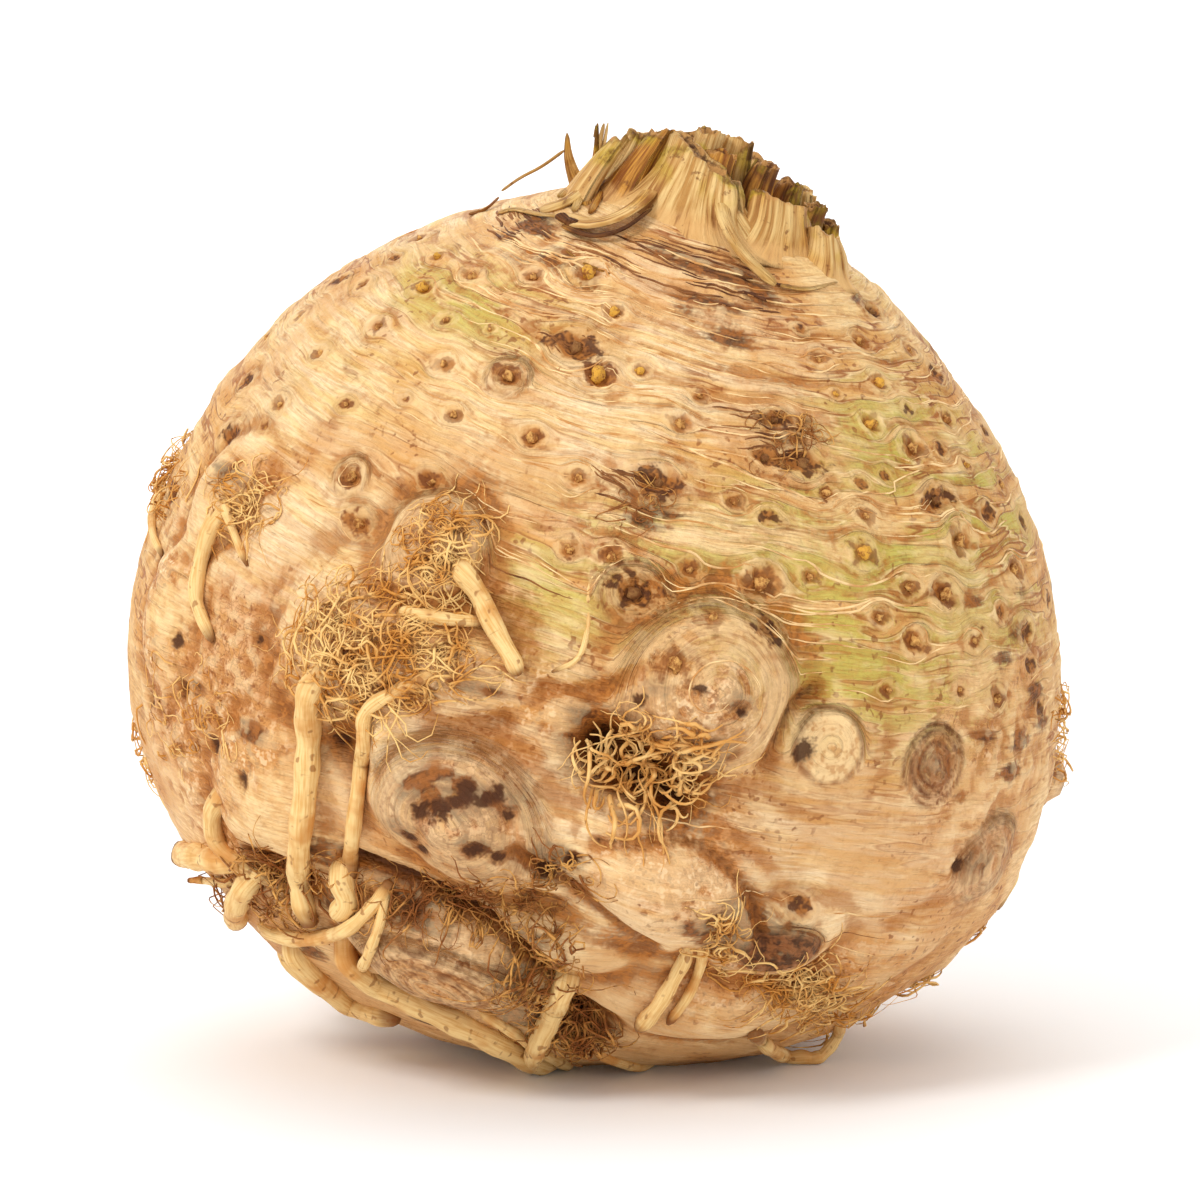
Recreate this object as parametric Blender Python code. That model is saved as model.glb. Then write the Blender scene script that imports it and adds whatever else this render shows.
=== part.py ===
"""A whole celeriac: a knobbly round root with the cut bases of its leaf stalks on top and side roots below.

Metres, +Z up, with the viewer towards -Y. The origin is on the small flat spot that the root rests on.
Places on the front are pixels of the photograph, across and down in its 1200 by 1200 frame, and a line of
sight carries each one to the skin. The back follows a seeded rule.
"""

import math
import random
from collections import namedtuple

import bmesh
import bpy
import numpy as np
from mathutils import Matrix, Vector

MM = 0.001

# Driving dimensions
BODY_WIDTH = 0.130
BODY_WIDTH_PIXELS = 935
PIXEL = BODY_WIDTH / BODY_WIDTH_PIXELS
CENTRE = np.array([0.0, 0.0, 0.0554])
CENTRE_PIXEL = (595, 655)
DEPTH_RADIUS = 0.0605
# Radii of the outline seen from the front, every 30 degrees, anticlockwise from the right
OUTLINE_MM = [64.4, 63.0, 62.6, 62.8, 64.0, 63.8, 64.8, 61.6, 57.8, 56.6, 61.0, 66.0]
OUTLINE = np.array(OUTLINE_MM) * MM

# The eye that the photograph was taken from
PHOTO_MIDDLE = 600
VIEW_DISTANCE = 0.70
VIEW_TILT = math.radians(6)
RIGHT = np.array([1.0, 0.0, 0.0])
UP = np.array([0.0, math.sin(VIEW_TILT), math.cos(VIEW_TILT)])
FORWARD = np.array([0.0, math.cos(VIEW_TILT), -math.sin(VIEW_TILT)])
AIM_RIGHT = (PHOTO_MIDDLE - CENTRE_PIXEL[0]) * PIXEL
AIM_UP = (CENTRE_PIXEL[1] - PHOTO_MIDDLE) * PIXEL
AIM = CENTRE + AIM_RIGHT * RIGHT + AIM_UP * UP
EYE = AIM - FORWARD * VIEW_DISTANCE
# A sight line is searched for the skin from this far before the aim to this far behind it
SIGHT_BEFORE = 0.09
SIGHT_BEHIND = 0.02
SIGHT_STEPS = 441

# The crown leans to the right and towards the viewer
CROWN_LEAN = np.array([0.26, -0.15, 1.0])
CROWN_AXIS = CROWN_LEAN / np.linalg.norm(CROWN_LEAN)

# Swellings on the front: across, down, half length mm, half width mm, turn in degrees, height mm
FRONT_SWELLINGS = [
    (712, 690, 10.5, 10.0, 0, 6.0),
    (388, 650, 14.0, 11.0, -10, 5.4),
    (436, 545, 6.5, 6.0, 0, 4.2),
    (468, 815, 12.5, 8.0, -40, 5.6),
    (650, 885, 14.0, 8.0, -25, 5.4),
    (440, 962, 13.0, 7.0, -28, 4.4),
    (772, 940, 8.5, 5.5, 12, 3.4),
    (827, 745, 7.0, 6.6, 0, 3.0),
    (935, 765, 6.4, 6.2, 0, 2.2),
    (700, 1012, 14.0, 6.0, -4, 2.6),
    (985, 865, 6.6, 6.0, 30, 1.8),
    (226, 490, 7.5, 5.5, 60, 2.8),
    (168, 610, 9.0, 6.0, 80, 1.8),
    (262, 800, 10.0, 8.0, 60, 2.4),
    (398, 775, 9.0, 4.5, 80, 2.4),
    (560, 940, 8.0, 4.5, -35, 2.0),
    (880, 960, 11.0, 6.0, 30, 1.4),
]
# Hollows on the front, with the same fields and the depth in place of the height
FRONT_HOLLOWS = [
    (638, 768, 9.5, 6.0, -25, 4.6),
    (578, 1022, 5.5, 4.5, 0, 4.0),
    (282, 872, 6.0, 3.5, -30, 2.6),
    (346, 745, 5.0, 3.0, 80, 1.8),
    (490, 625, 4.5, 6.0, 80, 2.2),
]
# Furrows: their pixels, half width mm and depth mm
FURROWS = [
    ([(352, 862), (420, 892), (490, 930), (548, 972)], 2.2, 2.8),
    ([(520, 842), (590, 892), (650, 940)], 1.6, 1.6),
    ([(600, 838), (690, 842), (748, 892), (756, 930)], 1.6, 1.5),
    ([(545, 690), (600, 690), (652, 662)], 1.8, 1.2),
    ([(770, 760), (786, 712), (820, 690)], 1.6, 1.6),
    ([(380, 985), (450, 1008), (520, 1010)], 1.8, 2.4),
    ([(500, 720), (420, 735), (385, 770)], 1.8, 1.2),
]

# Swellings and hollows on the back, by a seeded rule
BACK_SEED = 7
BACK_SWELLINGS = 16
BACK_LATITUDES = (-48, 4)
BACK_SIZES_MM = (6.0, 12.5)
BACK_HEIGHTS_MM = (2.2, 4.6)
BACK_HOLLOW_EVERY = 5
BACK_HOLLOW_SHARE = 0.8
BACK_WIDTH_SHARES = (0.6, 0.95)
BACK_TURNS = (-60, 60)
BACK_AZIMUTHS = (-100, 100)
BACK_SHIFT = 8
GOLDEN_SHARE = 0.618

# How a swelling falls off: its flank's sharpness, and the crease round its foot in shares of its size
FLANK_SHARPNESS = 2.6
CREASE_SHARE = 0.22
CREASE_AT = 1.35
CREASE_WIDTH = 0.3
FURROW_POINTS = 24
# The low shoulder that carries the stalks: its radius and height
SHOULDER_RADIUS_MM = 27
SHOULDER_HEIGHT_MM = 3.6

# Thick side roots on the front: their pixels, thickness at the start and at the end mm, arch mm
FRONT_ROOTS = [
    ([(452, 562), (478, 590), (496, 625), (512, 655), (519, 674)], 3.0, 2.2, 1.6),
    ([(398, 612), (422, 616), (452, 620), (486, 622)], 2.0, 1.6, 0.8),
    (
        [(448, 664), (414, 683), (382, 700), (369, 716), (368, 748), (361, 800), (354, 850), (351, 880)],
        1.7, 2.2, 1.0,
    ),
    ([(322, 664), (314, 698), (317, 740), (314, 790), (307, 850), (308, 895), (313, 922)], 3.6, 2.9, 1.4),
    ([(224, 500), (211, 545), (203, 590), (206, 615), (214, 642)], 2.6, 1.4, 0.8),
    ([(224, 498), (236, 530), (248, 566)], 1.6, 0.9, 0.4),
    ([(164, 488), (156, 512), (156, 535), (163, 556)], 1.4, 0.9, 0.3),
    ([(216, 792), (218, 832), (238, 858), (278, 882)], 2.8, 2.2, 0.3),
    ([(236, 862), (206, 854), (178, 850)], 3.6, 3.8, 0.4),
    ([(258, 872), (246, 896), (240, 922)], 3.4, 3.2, 1.0),
    ([(236, 884), (208, 878), (188, 880)], 1.4, 0.8, 0.5),
    ([(250, 925), (300, 935), (348, 926), (378, 900), (392, 880)], 2.2, 1.8, 0.8),
    ([(340, 866), (352, 895), (338, 912)], 3.6, 3.0, 0.6),
    ([(390, 880), (384, 918), (372, 950), (360, 972)], 1.3, 1.6, 1.0),
    ([(336, 930), (360, 968), (420, 998), (480, 1026), (530, 1052), (566, 1066)], 3.0, 3.8, 0.6),
    ([(470, 1004), (515, 1030), (548, 1052), (580, 1068)], 1.4, 1.8, 0.3),
    ([(572, 966), (552, 1006), (537, 1040), (529, 1074)], 3.4, 2.3, 1.6),
    ([(692, 944), (672, 972), (655, 1000), (638, 1026)], 1.8, 2.4, 1.2),
    ([(706, 944), (690, 985), (668, 1022)], 1.4, 1.4, 0.6),
    ([(590, 1050), (628, 1062), (660, 1067), (684, 1066)], 1.8, 0.7, 0.2),
    ([(846, 1010), (830, 1038), (806, 1054), (772, 1046), (752, 1030)], 1.5, 2.2, 0.8),
    ([(286, 936), (314, 968), (352, 1000), (400, 1018)], 3.4, 2.8, 0.3),
    ([(612, 557), (590, 584), (588, 625), (578, 658), (552, 672)], 1.0, 0.8, 0.1),
    ([(558, 226), (590, 233), (622, 227), (648, 212)], 1.8, 2.8, 1.2),
]
ROOT_SUNK = 2.0 * MM
ROOT_LIFT_SHARE = 0.3
ROOT_POINTS = 6

# Side roots on the back and underside, by a seeded rule
BACK_ROOT_SEED = 23
BACK_ROOTS = 15
BACK_ROOT_LATITUDES = (-42, -8)
BACK_ROOT_STEP = 6.0 * MM
BACK_ROOT_THICK_MM = (1.8, 3.6)
BACK_ROOT_WANDER = 0.55
BACK_ROOT_AZIMUTHS = (-84, 84)
BACK_ROOT_SHIFT = 6
BACK_ROOT_TAPERS = (0.6, 0.9)
BACK_ROOT_ARCHES_MM = (0.3, 1.8)
BACK_ROOT_STEPS = (5, 7)

# Broad round scars where thick roots were cut off: across, down, radius mm
FRONT_SCARS = [(828, 746, 4.7), (933, 765, 4.2), (718, 696, 6.2), (771, 941, 4.0), (652, 925, 3.4)]
SCAR_STANDS = 0.6 * MM
SCAR_SUNK = 2.0 * MM
SCAR_SIDES = 12
SCAR_TOP_SHARE = 0.85

# Eyes, the stubs of thin roots: across, down, radius in pixels
FRONT_EYES = [
    (280, 404, 9), (453, 414, 9), (351, 476, 10), (431, 483, 9), (359, 524, 11), (423, 287, 11),
    (446, 320, 9), (379, 326, 9), (443, 363, 10), (352, 284, 9), (419, 238, 9), (247, 381, 9),
    (233, 439, 11), (508, 376, 13), (532, 437, 9), (598, 375, 12), (679, 423, 12), (579, 478, 10),
    (659, 482, 13), (648, 514, 13), (589, 273, 13), (614, 313, 12), (576, 346, 13), (861, 333, 9),
    (877, 383, 11), (819, 360, 9), (870, 426, 12), (913, 448, 11), (947, 419, 9), (828, 493, 11),
    (803, 462, 11), (771, 425, 12), (938, 500, 12), (1002, 485, 9), (769, 517, 9), (863, 550, 12),
    (961, 540, 12), (1015, 570, 10), (763, 583, 12), (947, 595, 11), (879, 618, 9), (915, 641, 13),
    (713, 618, 11), (1022, 632, 11), (997, 700, 11), (676, 664, 13), (798, 903, 13), (569, 549, 11),
    (612, 556, 11), (633, 592, 14),
]
EYE_HEIGHT = 0.8 * MM
EYE_SUNK = 1.3 * MM
EYE_SIDES = 5
EYE_TOP_SHARE = 0.6
BACK_EYE_SEED = 41
BACK_EYES = 28
BACK_EYE_LATITUDES = (-12, 62)
BACK_EYE_RADII_PIXELS = (8, 13)
BACK_EYE_AZIMUTHS = (-86, 86)
BACK_EYE_SHIFT = 3

# Cut stalk bases on the crown, in its own frame: right mm, away mm, height mm, lean right mm, lean away mm,
# half width mm, half thickness mm, share of the width kept at the cut
STALKS = [
    (-18.5, 1.0, 9.0, -0.6, 0.0, 0.9, 0.8, 0.30),
    (-17.5, -3.5, 8.5, 4.2, 2.0, 2.8, 1.5, 0.80),
    (-11.5, -5.0, 9.6, 4.4, 2.0, 2.6, 1.8, 0.80),
    (-6.5, 1.0, 8.6, 2.6, 0.5, 2.8, 2.0, 0.90),
    (-2.5, -11.0, 9.8, 1.2, 4.2, 6.6, 3.2, 0.70),
    (9.6, -9.5, 5.2, -0.3, 2.6, 4.8, 3.2, 0.90),
    (16.5, -7.5, 5.0, -1.6, 1.6, 3.9, 2.7, 0.76),
    (10.0, -15.0, 4.4, -7.5, 3.0, 2.0, 0.8, 0.80),
    (2.5, 4.0, 9.0, 0.0, 0.4, 2.1, 1.7, 0.82),
    (6.5, 0.5, 7.2, 0.0, 0.0, 2.4, 1.8, 0.80),
    (11.5, 3.0, 6.0, -0.4, 0.0, 2.3, 1.8, 0.80),
    (16.0, 1.5, 4.8, -0.6, 0.0, 2.2, 1.7, 0.80),
    (-15.0, 8.0, 8.0, 3.0, -1.4, 3.6, 2.2, 0.82),
    (-7.5, 13.5, 8.4, 1.6, -2.6, 5.2, 2.6, 0.74),
    (3.5, 15.0, 7.4, 0.4, -2.8, 4.4, 2.4, 0.80),
    (12.5, 12.0, 5.8, -1.2, -2.4, 4.6, 2.5, 0.74),
    (19.5, 5.5, 4.0, -2.4, -0.8, 2.8, 2.0, 0.80),
    (-1.5, -3.0, 7.0, 0.4, 0.4, 2.6, 2.0, 0.85),
]
STALK_SIDES = 9
STALK_SUNK = 2.5 * MM
STALK_FLARE = 1.25
# Nearer to the crown's middle than this, a stalk is set square to the viewer
STALK_MIDDLE_MM = 4

# The body starts with even cells, and an edge that strays from the skin by more than the limit is split
BODY_CELLS = 13
SPLIT_LIMIT = 0.44 * MM
SPLIT_ROUNDS = 2
FOOT_BLOCK = 0.2
TABLE_CLEAR = 0.15 * MM

SKIN_COLOUR = (0.78, 0.58, 0.34, 1.0)
SKIN_ROUGHNESS = 0.65
SHARP_ANGLE = math.radians(40)
WELD = 0.02 * MM

Swelling = namedtuple("Swelling", "middle along across length width height crease")
Furrow = namedtuple("Furrow", "line width depth")


def smooth_ring(values, turns):
    """A closed smooth curve through evenly spaced values, read at turns from 0 to 1."""
    count = len(values)
    place = (turns % 1.0) * count
    index = np.floor(place).astype(int)
    t = place - index
    a, b, c, d = (values[(index + k) % count] for k in (-1, 0, 1, 2))
    return 0.5 * (2 * b + (c - a) * t + (2 * a - 5 * b + 4 * c - d) * t**2 + (3 * b - a - 3 * c + d) * t**3)


def unit(vector):
    return vector / np.linalg.norm(vector)


def plain_radius(directions):
    """The radius of the body before its swellings, for each row of unit directions from its centre."""
    turns = np.arctan2(directions[:, 2], directions[:, 0]) / (2 * math.pi)
    towards_viewer = directions[:, 1] ** 2
    return smooth_ring(OUTLINE, turns) * (1 - towards_viewer) + DEPTH_RADIUS * towards_viewer


def line_of_sight(across, down, radius_of):
    """Where the sight line through a pixel first meets a body of that radius, or passes nearest to it."""
    target = AIM + (across - PHOTO_MIDDLE) * PIXEL * RIGHT + (PHOTO_MIDDLE - down) * PIXEL * UP
    steps = np.linspace(VIEW_DISTANCE - SIGHT_BEFORE, VIEW_DISTANCE + SIGHT_BEHIND, SIGHT_STEPS)
    points = EYE + unit(target - EYE) * steps[:, None] - CENTRE
    lengths = np.linalg.norm(points, axis=1)
    depths = lengths - radius_of(points / lengths[:, None])
    inside = depths < 0
    first = np.argmax(inside) if inside.any() else np.argmin(depths)
    return CENTRE + points[first]


def direction_seen(across, down):
    return unit(line_of_sight(across, down, plain_radius) - CENTRE)


def swelling_at(middle, length_mm, width_mm, turn, height_mm):
    """A swelling about a direction, its long side turned from level, as seen from outside."""
    level = unit(np.cross([0.0, 0.0, 1.0], middle))
    upward = np.cross(middle, level)
    along = level * math.cos(math.radians(turn)) + upward * math.sin(math.radians(turn))
    across = np.cross(middle, along)
    crease = CREASE_SHARE * max(height_mm, 0.0) * MM
    return Swelling(middle, along, across, length_mm * MM, width_mm * MM, height_mm * MM, crease)


def front_swellings():
    for across, down, length, width, turn, height in FRONT_SWELLINGS:
        yield swelling_at(direction_seen(across, down), length, width, turn, height)
    for across, down, length, width, turn, depth in FRONT_HOLLOWS:
        yield swelling_at(direction_seen(across, down), length, width, turn, -depth)


def direction_at(azimuth, latitude):
    """Azimuth 0 is straight back, away from the viewer, and 90 is to the left of the viewer."""
    level = math.cos(latitude)
    return np.array([-math.sin(azimuth) * level, math.cos(azimuth) * level, math.sin(latitude)])


def between(ends, share):
    return ends[0] + (ends[1] - ends[0]) * share


def back_swellings():
    """Spaced round the back by a steady turn, with a seeded shift of each one."""
    draw = random.Random(BACK_SEED)
    for i in range(BACK_SWELLINGS):
        azimuth = between(BACK_AZIMUTHS, (i + 0.5) / BACK_SWELLINGS) + draw.uniform(-BACK_SHIFT, BACK_SHIFT)
        latitude = between(BACK_LATITUDES, (i * GOLDEN_SHARE) % 1.0)
        length = draw.uniform(*BACK_SIZES_MM)
        height = draw.uniform(*BACK_HEIGHTS_MM)
        if i % BACK_HOLLOW_EVERY == 0:
            height = -BACK_HOLLOW_SHARE * height
        width = length * draw.uniform(*BACK_WIDTH_SHARES)
        turn = draw.uniform(*BACK_TURNS)
        middle = direction_at(math.radians(azimuth), math.radians(latitude))
        yield swelling_at(middle, length, width, turn, height)


def smooth_path(points, count):
    """Evenly read points of a smooth open curve through the given ones."""
    points = np.array(points, float)
    ends = np.vstack([2 * points[0] - points[1], points, 2 * points[-1] - points[-2]])
    place = np.linspace(0, len(points) - 1, count)
    index = np.minimum(place.astype(int), len(points) - 2)
    t = (place - index)[:, None]
    a, b, c, d = (ends[index + k] for k in range(4))
    return 0.5 * (2 * b + (c - a) * t + (2 * a - 5 * b + 4 * c - d) * t**2 + (3 * b - a - 3 * c + d) * t**3)


def furrows():
    for pixels, width, depth in FURROWS:
        line = np.array([direction_seen(*point) for point in smooth_path(pixels, FURROW_POINTS)])
        yield Furrow(line, width * MM, depth * MM)


def shoulder():
    plain = swelling_at(CROWN_AXIS, SHOULDER_RADIUS_MM, SHOULDER_RADIUS_MM, 0, SHOULDER_HEIGHT_MM)
    return plain._replace(crease=0.0)


SWELLINGS = [shoulder(), *front_swellings(), *back_swellings()]
FURROW_LINES = list(furrows())


def body_radius(directions):
    """The body's radius with its swellings, hollows and furrows."""
    radius = plain_radius(directions)
    points = directions * radius[:, None]
    for lobe in SWELLINGS:
        offset = points - lobe.middle * plain_radius(lobe.middle[None])[0]
        reach = np.sqrt(
            (offset @ lobe.along / lobe.length) ** 2
            + (offset @ lobe.across / lobe.width) ** 2
            + (offset @ lobe.middle / lobe.width) ** 2
        )
        crease = lobe.crease * np.exp(-(((reach - CREASE_AT) / CREASE_WIDTH) ** 2))
        radius = radius + lobe.height * np.exp(-(reach**FLANK_SHARPNESS)) - crease
    for furrow in FURROW_LINES:
        nearest = np.full(len(directions), 1.0)
        for place in furrow.line:
            nearest = np.minimum(nearest, np.linalg.norm(directions - place, axis=1))
        radius = radius - furrow.depth * np.exp(-((nearest * DEPTH_RADIUS / furrow.width) ** 2))
    return radius


def on_skin(direction, lift=0.0):
    direction = unit(direction)
    return CENTRE + direction * (body_radius(direction[None])[0] + lift)


def skin_seen(across, down, lift):
    """The point of the skin that shows at a pixel, raised by the lift."""
    point = line_of_sight(across, down, body_radius)
    return point + unit(point - CENTRE) * lift


def skin_material():
    material = bpy.data.materials.new("celeriac_skin")
    material.use_nodes = True
    shader = material.node_tree.nodes["Principled BSDF"]
    shader.inputs["Base Color"].default_value = SKIN_COLOUR
    shader.inputs["Roughness"].default_value = SKIN_ROUGHNESS
    shader.inputs["Metallic"].default_value = 0.0
    return material


def object_from(name, shape, collection):
    mesh = bpy.data.meshes.new(name)
    shape.to_mesh(mesh)
    shape.free()
    made = bpy.data.objects.new(name, mesh)
    collection.objects.link(made)
    return made


def lay_on_skin(vertices, directions):
    lengths = np.linalg.norm(directions, axis=1)
    directions = directions / lengths[:, None]
    for vertex, place in zip(vertices, CENTRE + directions * body_radius(directions)[:, None]):
        vertex.co = place


def split_where_it_bends(shape):
    """Adds a point to each edge that strays too far from the skin, and lays it on the skin."""
    edges = shape.edges[:]
    middles = np.array([(edge.verts[0].co + edge.verts[1].co) / 2 for edge in edges]) - CENTRE
    lengths = np.linalg.norm(middles, axis=1)
    strays = np.abs(body_radius(middles / lengths[:, None]) - lengths) > SPLIT_LIMIT
    chosen = [edge for edge, stray in zip(edges, strays) if stray]
    made = bmesh.ops.bisect_edges(shape, edges=chosen, cuts=1)
    added = [item for item in made["geom_split"] if isinstance(item, bmesh.types.BMVert)]
    lay_on_skin(added, np.array([vertex.co for vertex in added]) - CENTRE)
    bmesh.ops.triangulate(shape, faces=shape.faces[:])


def make_body(collection):
    """A cube with even cells, rounded to a ball, drawn out to the skin and refined where it bends."""
    shape = bmesh.new()
    bmesh.ops.create_cube(shape, size=2.0)
    bmesh.ops.subdivide_edges(shape, edges=shape.edges[:], cuts=BODY_CELLS - 1, use_grid_fill=True)
    cube = np.array([vertex.co for vertex in shape.verts])
    lay_on_skin(shape.verts, np.tan(cube * math.pi / 4))
    bmesh.ops.triangulate(shape, faces=shape.faces[:])
    for _ in range(SPLIT_ROUNDS):
        split_where_it_bends(shape)
    print(f"body: {len(shape.faces)} triangles")
    return object_from("celeriac", shape, collection)


def frame_about(axis, place):
    """A matrix that carries +Z to an axis and the origin to a place."""
    turn = Vector(axis).to_track_quat("Z", "Y").to_matrix().to_4x4()
    return Matrix.Translation(Vector(place)) @ turn


def add_stud(collection, name, direction, radius, top_share, sunk, stands, sides):
    """A short tapered stud, sunk in the skin."""
    shape = bmesh.new()
    depth = sunk + stands
    middle = on_skin(direction, (stands - sunk) / 2)
    bmesh.ops.create_cone(
        shape, cap_ends=True, segments=sides, radius1=radius, radius2=radius * top_share, depth=depth,
        matrix=frame_about(direction, middle),
    )
    return object_from(name, shape, collection)


def back_eyes():
    draw = random.Random(BACK_EYE_SEED)
    for i in range(BACK_EYES):
        azimuth = between(BACK_EYE_AZIMUTHS, (i * GOLDEN_SHARE) % 1.0)
        azimuth += draw.uniform(-BACK_EYE_SHIFT, BACK_EYE_SHIFT)
        latitude = between(BACK_EYE_LATITUDES, (i + 0.5) / BACK_EYES)
        middle = direction_at(math.radians(azimuth), math.radians(latitude))
        yield middle, draw.uniform(*BACK_EYE_RADII_PIXELS) * PIXEL


def add_eyes_and_scars(collection):
    front = [(direction_seen(across, down), radius * PIXEL) for across, down, radius in FRONT_EYES]
    for i, (direction, radius) in enumerate([*front, *back_eyes()]):
        add_stud(collection, f"eye_{i}", direction, radius, EYE_TOP_SHARE, EYE_SUNK, EYE_HEIGHT, EYE_SIDES)
    for i, (across, down, radius) in enumerate(FRONT_SCARS):
        direction = direction_seen(across, down)
        wide = radius * MM
        add_stud(collection, f"scar_{i}", direction, wide, SCAR_TOP_SHARE, SCAR_SUNK, SCAR_STANDS, SCAR_SIDES)


def add_root(collection, name, points, start, end):
    """A tapered tube through the points, made from a curve and closed at both ends."""
    curve = bpy.data.curves.new(name, "CURVE")
    curve.dimensions = "3D"
    curve.bevel_depth = max(start, end) / 2
    curve.bevel_resolution = 1
    curve.use_fill_caps = True
    spline = curve.splines.new("POLY")
    spline.points.add(len(points) - 1)
    for i, (point, place) in enumerate(zip(spline.points, points)):
        share = i / (len(points) - 1)
        thickness = start + (end - start) * share
        point.co = (*place, 1.0)
        point.radius = thickness / max(start, end)
    guide = bpy.data.objects.new(name, curve)
    collection.objects.link(guide)
    bpy.context.view_layer.update()
    mesh = bpy.data.meshes.new_from_object(guide.evaluated_get(bpy.context.evaluated_depsgraph_get()))
    shape = bmesh.new()
    shape.from_mesh(mesh)
    bmesh.ops.remove_doubles(shape, verts=shape.verts[:], dist=WELD)
    bmesh.ops.recalc_face_normals(shape, faces=shape.faces[:])
    bpy.data.objects.remove(guide)
    return object_from(name, shape, collection)


def root_lifts(count, start, end, arch):
    """How far the root's middle line stands off the skin: sunk at its start, then lying and arching."""
    shares = np.linspace(0, 1, count)
    lying = ROOT_LIFT_SHARE * (start + (end - start) * shares) / 2
    lifts = lying + arch * np.sin(math.pi * shares)
    lifts[0] = -ROOT_SUNK
    return lifts


def above_table(point, thickness):
    return np.array([point[0], point[1], max(point[2], thickness / 2 + TABLE_CLEAR)])


def add_front_roots(collection):
    for i, (pixels, start, end, arch) in enumerate(FRONT_ROOTS):
        count = max(ROOT_POINTS, len(pixels) + 1)
        path = smooth_path(pixels, count)
        lifts = root_lifts(count, start * MM, end * MM, arch * MM)
        points = [skin_seen(*pixel, lift) for pixel, lift in zip(path, lifts)]
        points = [above_table(point, end * MM) for point in points]
        add_root(collection, f"front_root_{i}", points, start * MM, end * MM)


def back_root_paths():
    """Each root leaves the lower back, and wanders down over the skin towards the underside."""
    draw = random.Random(BACK_ROOT_SEED)
    for i in range(BACK_ROOTS):
        azimuth = between(BACK_ROOT_AZIMUTHS, (i + 0.5) / BACK_ROOTS)
        azimuth = math.radians(azimuth + draw.uniform(-BACK_ROOT_SHIFT, BACK_ROOT_SHIFT))
        latitude = math.radians(draw.uniform(*BACK_ROOT_LATITUDES))
        start = draw.uniform(*BACK_ROOT_THICK_MM) * MM
        end = start * draw.uniform(*BACK_ROOT_TAPERS)
        arch = draw.uniform(*BACK_ROOT_ARCHES_MM) * MM
        count = draw.randint(*BACK_ROOT_STEPS)
        heading = draw.uniform(-1.0, 1.0)
        lifts = root_lifts(count, start, end, arch)
        points = []
        direction = direction_at(azimuth, latitude)
        for lift in lifts:
            points.append(above_table(on_skin(direction, lift), end))
            level = unit(np.cross([0.0, 0.0, 1.0], direction))
            downward = np.cross(level, direction)
            heading += draw.uniform(-BACK_ROOT_WANDER, BACK_ROOT_WANDER)
            step = downward * math.cos(heading) + level * math.sin(heading)
            direction = unit(direction + step * BACK_ROOT_STEP / DEPTH_RADIUS)
        yield points, start, end


def add_back_roots(collection):
    for i, (points, start, end) in enumerate(back_root_paths()):
        add_root(collection, f"back_root_{i}", points, start, end)


def crown_frame():
    """The crown's middle on the skin, and its right, away and outward directions."""
    to_right = unit(RIGHT - (RIGHT @ CROWN_AXIS) * CROWN_AXIS)
    return on_skin(CROWN_AXIS), to_right, np.cross(CROWN_AXIS, to_right)


def add_stalks(collection):
    """Each stalk base is a flared cone, oval across, from a sunk foot to its slanting cut."""
    middle, to_right, away = crown_frame()
    for i, (right, back, height, lean_right, lean_back, half_width, half_thick, kept) in enumerate(STALKS):
        out = unit(middle + (right * to_right + back * away) * MM - CENTRE)
        foot = on_skin(out, -STALK_SUNK)
        top = on_skin(out) + (height * CROWN_AXIS + lean_right * to_right + lean_back * away) * MM
        rim = to_right * back - away * right
        sideways = unit(rim) if abs(right) + abs(back) > STALK_MIDDLE_MM else to_right
        if sideways @ to_right < 0:
            sideways = -sideways
        inward = unit(np.cross(CROWN_AXIS, sideways))
        rise = top - foot
        length = np.linalg.norm(rise)
        sides = [sideways * half_width * MM, inward * half_thick * MM, rise]
        stand = Matrix(np.column_stack(sides).tolist())
        shape = bmesh.new()
        bmesh.ops.create_cone(
            shape, cap_ends=True, segments=STALK_SIDES, radius1=STALK_FLARE, radius2=kept, depth=1.0,
            matrix=Matrix.Translation(Vector((foot + top) / 2)) @ stand.to_4x4(),
        )
        bmesh.ops.recalc_face_normals(shape, faces=shape.faces[:])
        object_from(f"stalk_{i}", shape, collection)
        print(f"stalk {i}: {length / MM:.1f} mm long")


def table_block(collection):
    """A block under the table's level, which cuts the small flat spot that the root rests on."""
    shape = bmesh.new()
    place = Matrix.Translation((0.0, 0.0, -FOOT_BLOCK / 2))
    bmesh.ops.create_cube(shape, size=FOOT_BLOCK, matrix=place)
    block = object_from("table_block", shape, collection)
    block.hide_render = True
    block.display_type = "WIRE"
    return block


def island_from(start, unseen):
    """The faces joined to a face, taken out of the unseen ones."""
    island = []
    waiting = [start]
    unseen.discard(start)
    while waiting:
        face = waiting.pop()
        island.append(face)
        for edge in face.edges:
            for neighbour in edge.link_faces:
                if neighbour in unseen:
                    unseen.discard(neighbour)
                    waiting.append(neighbour)
    return island


def keep_outer_skin(mesh):
    """Fills the hollows that the union seals and drops its scraps: both are faces apart from the skin."""
    shape = bmesh.new()
    shape.from_mesh(mesh)
    unseen = set(shape.faces)
    islands = []
    while unseen:
        islands.append(island_from(next(iter(unseen)), unseen))
    islands.sort(key=len)
    apart = [face for island in islands[:-1] for face in island]
    bmesh.ops.delete(shape, geom=apart, context="FACES")
    print(f"skin: {len(islands[-1])} faces, with {len(apart)} faces of hollows and scraps dropped")
    shape.to_mesh(mesh)
    shape.free()


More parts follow.
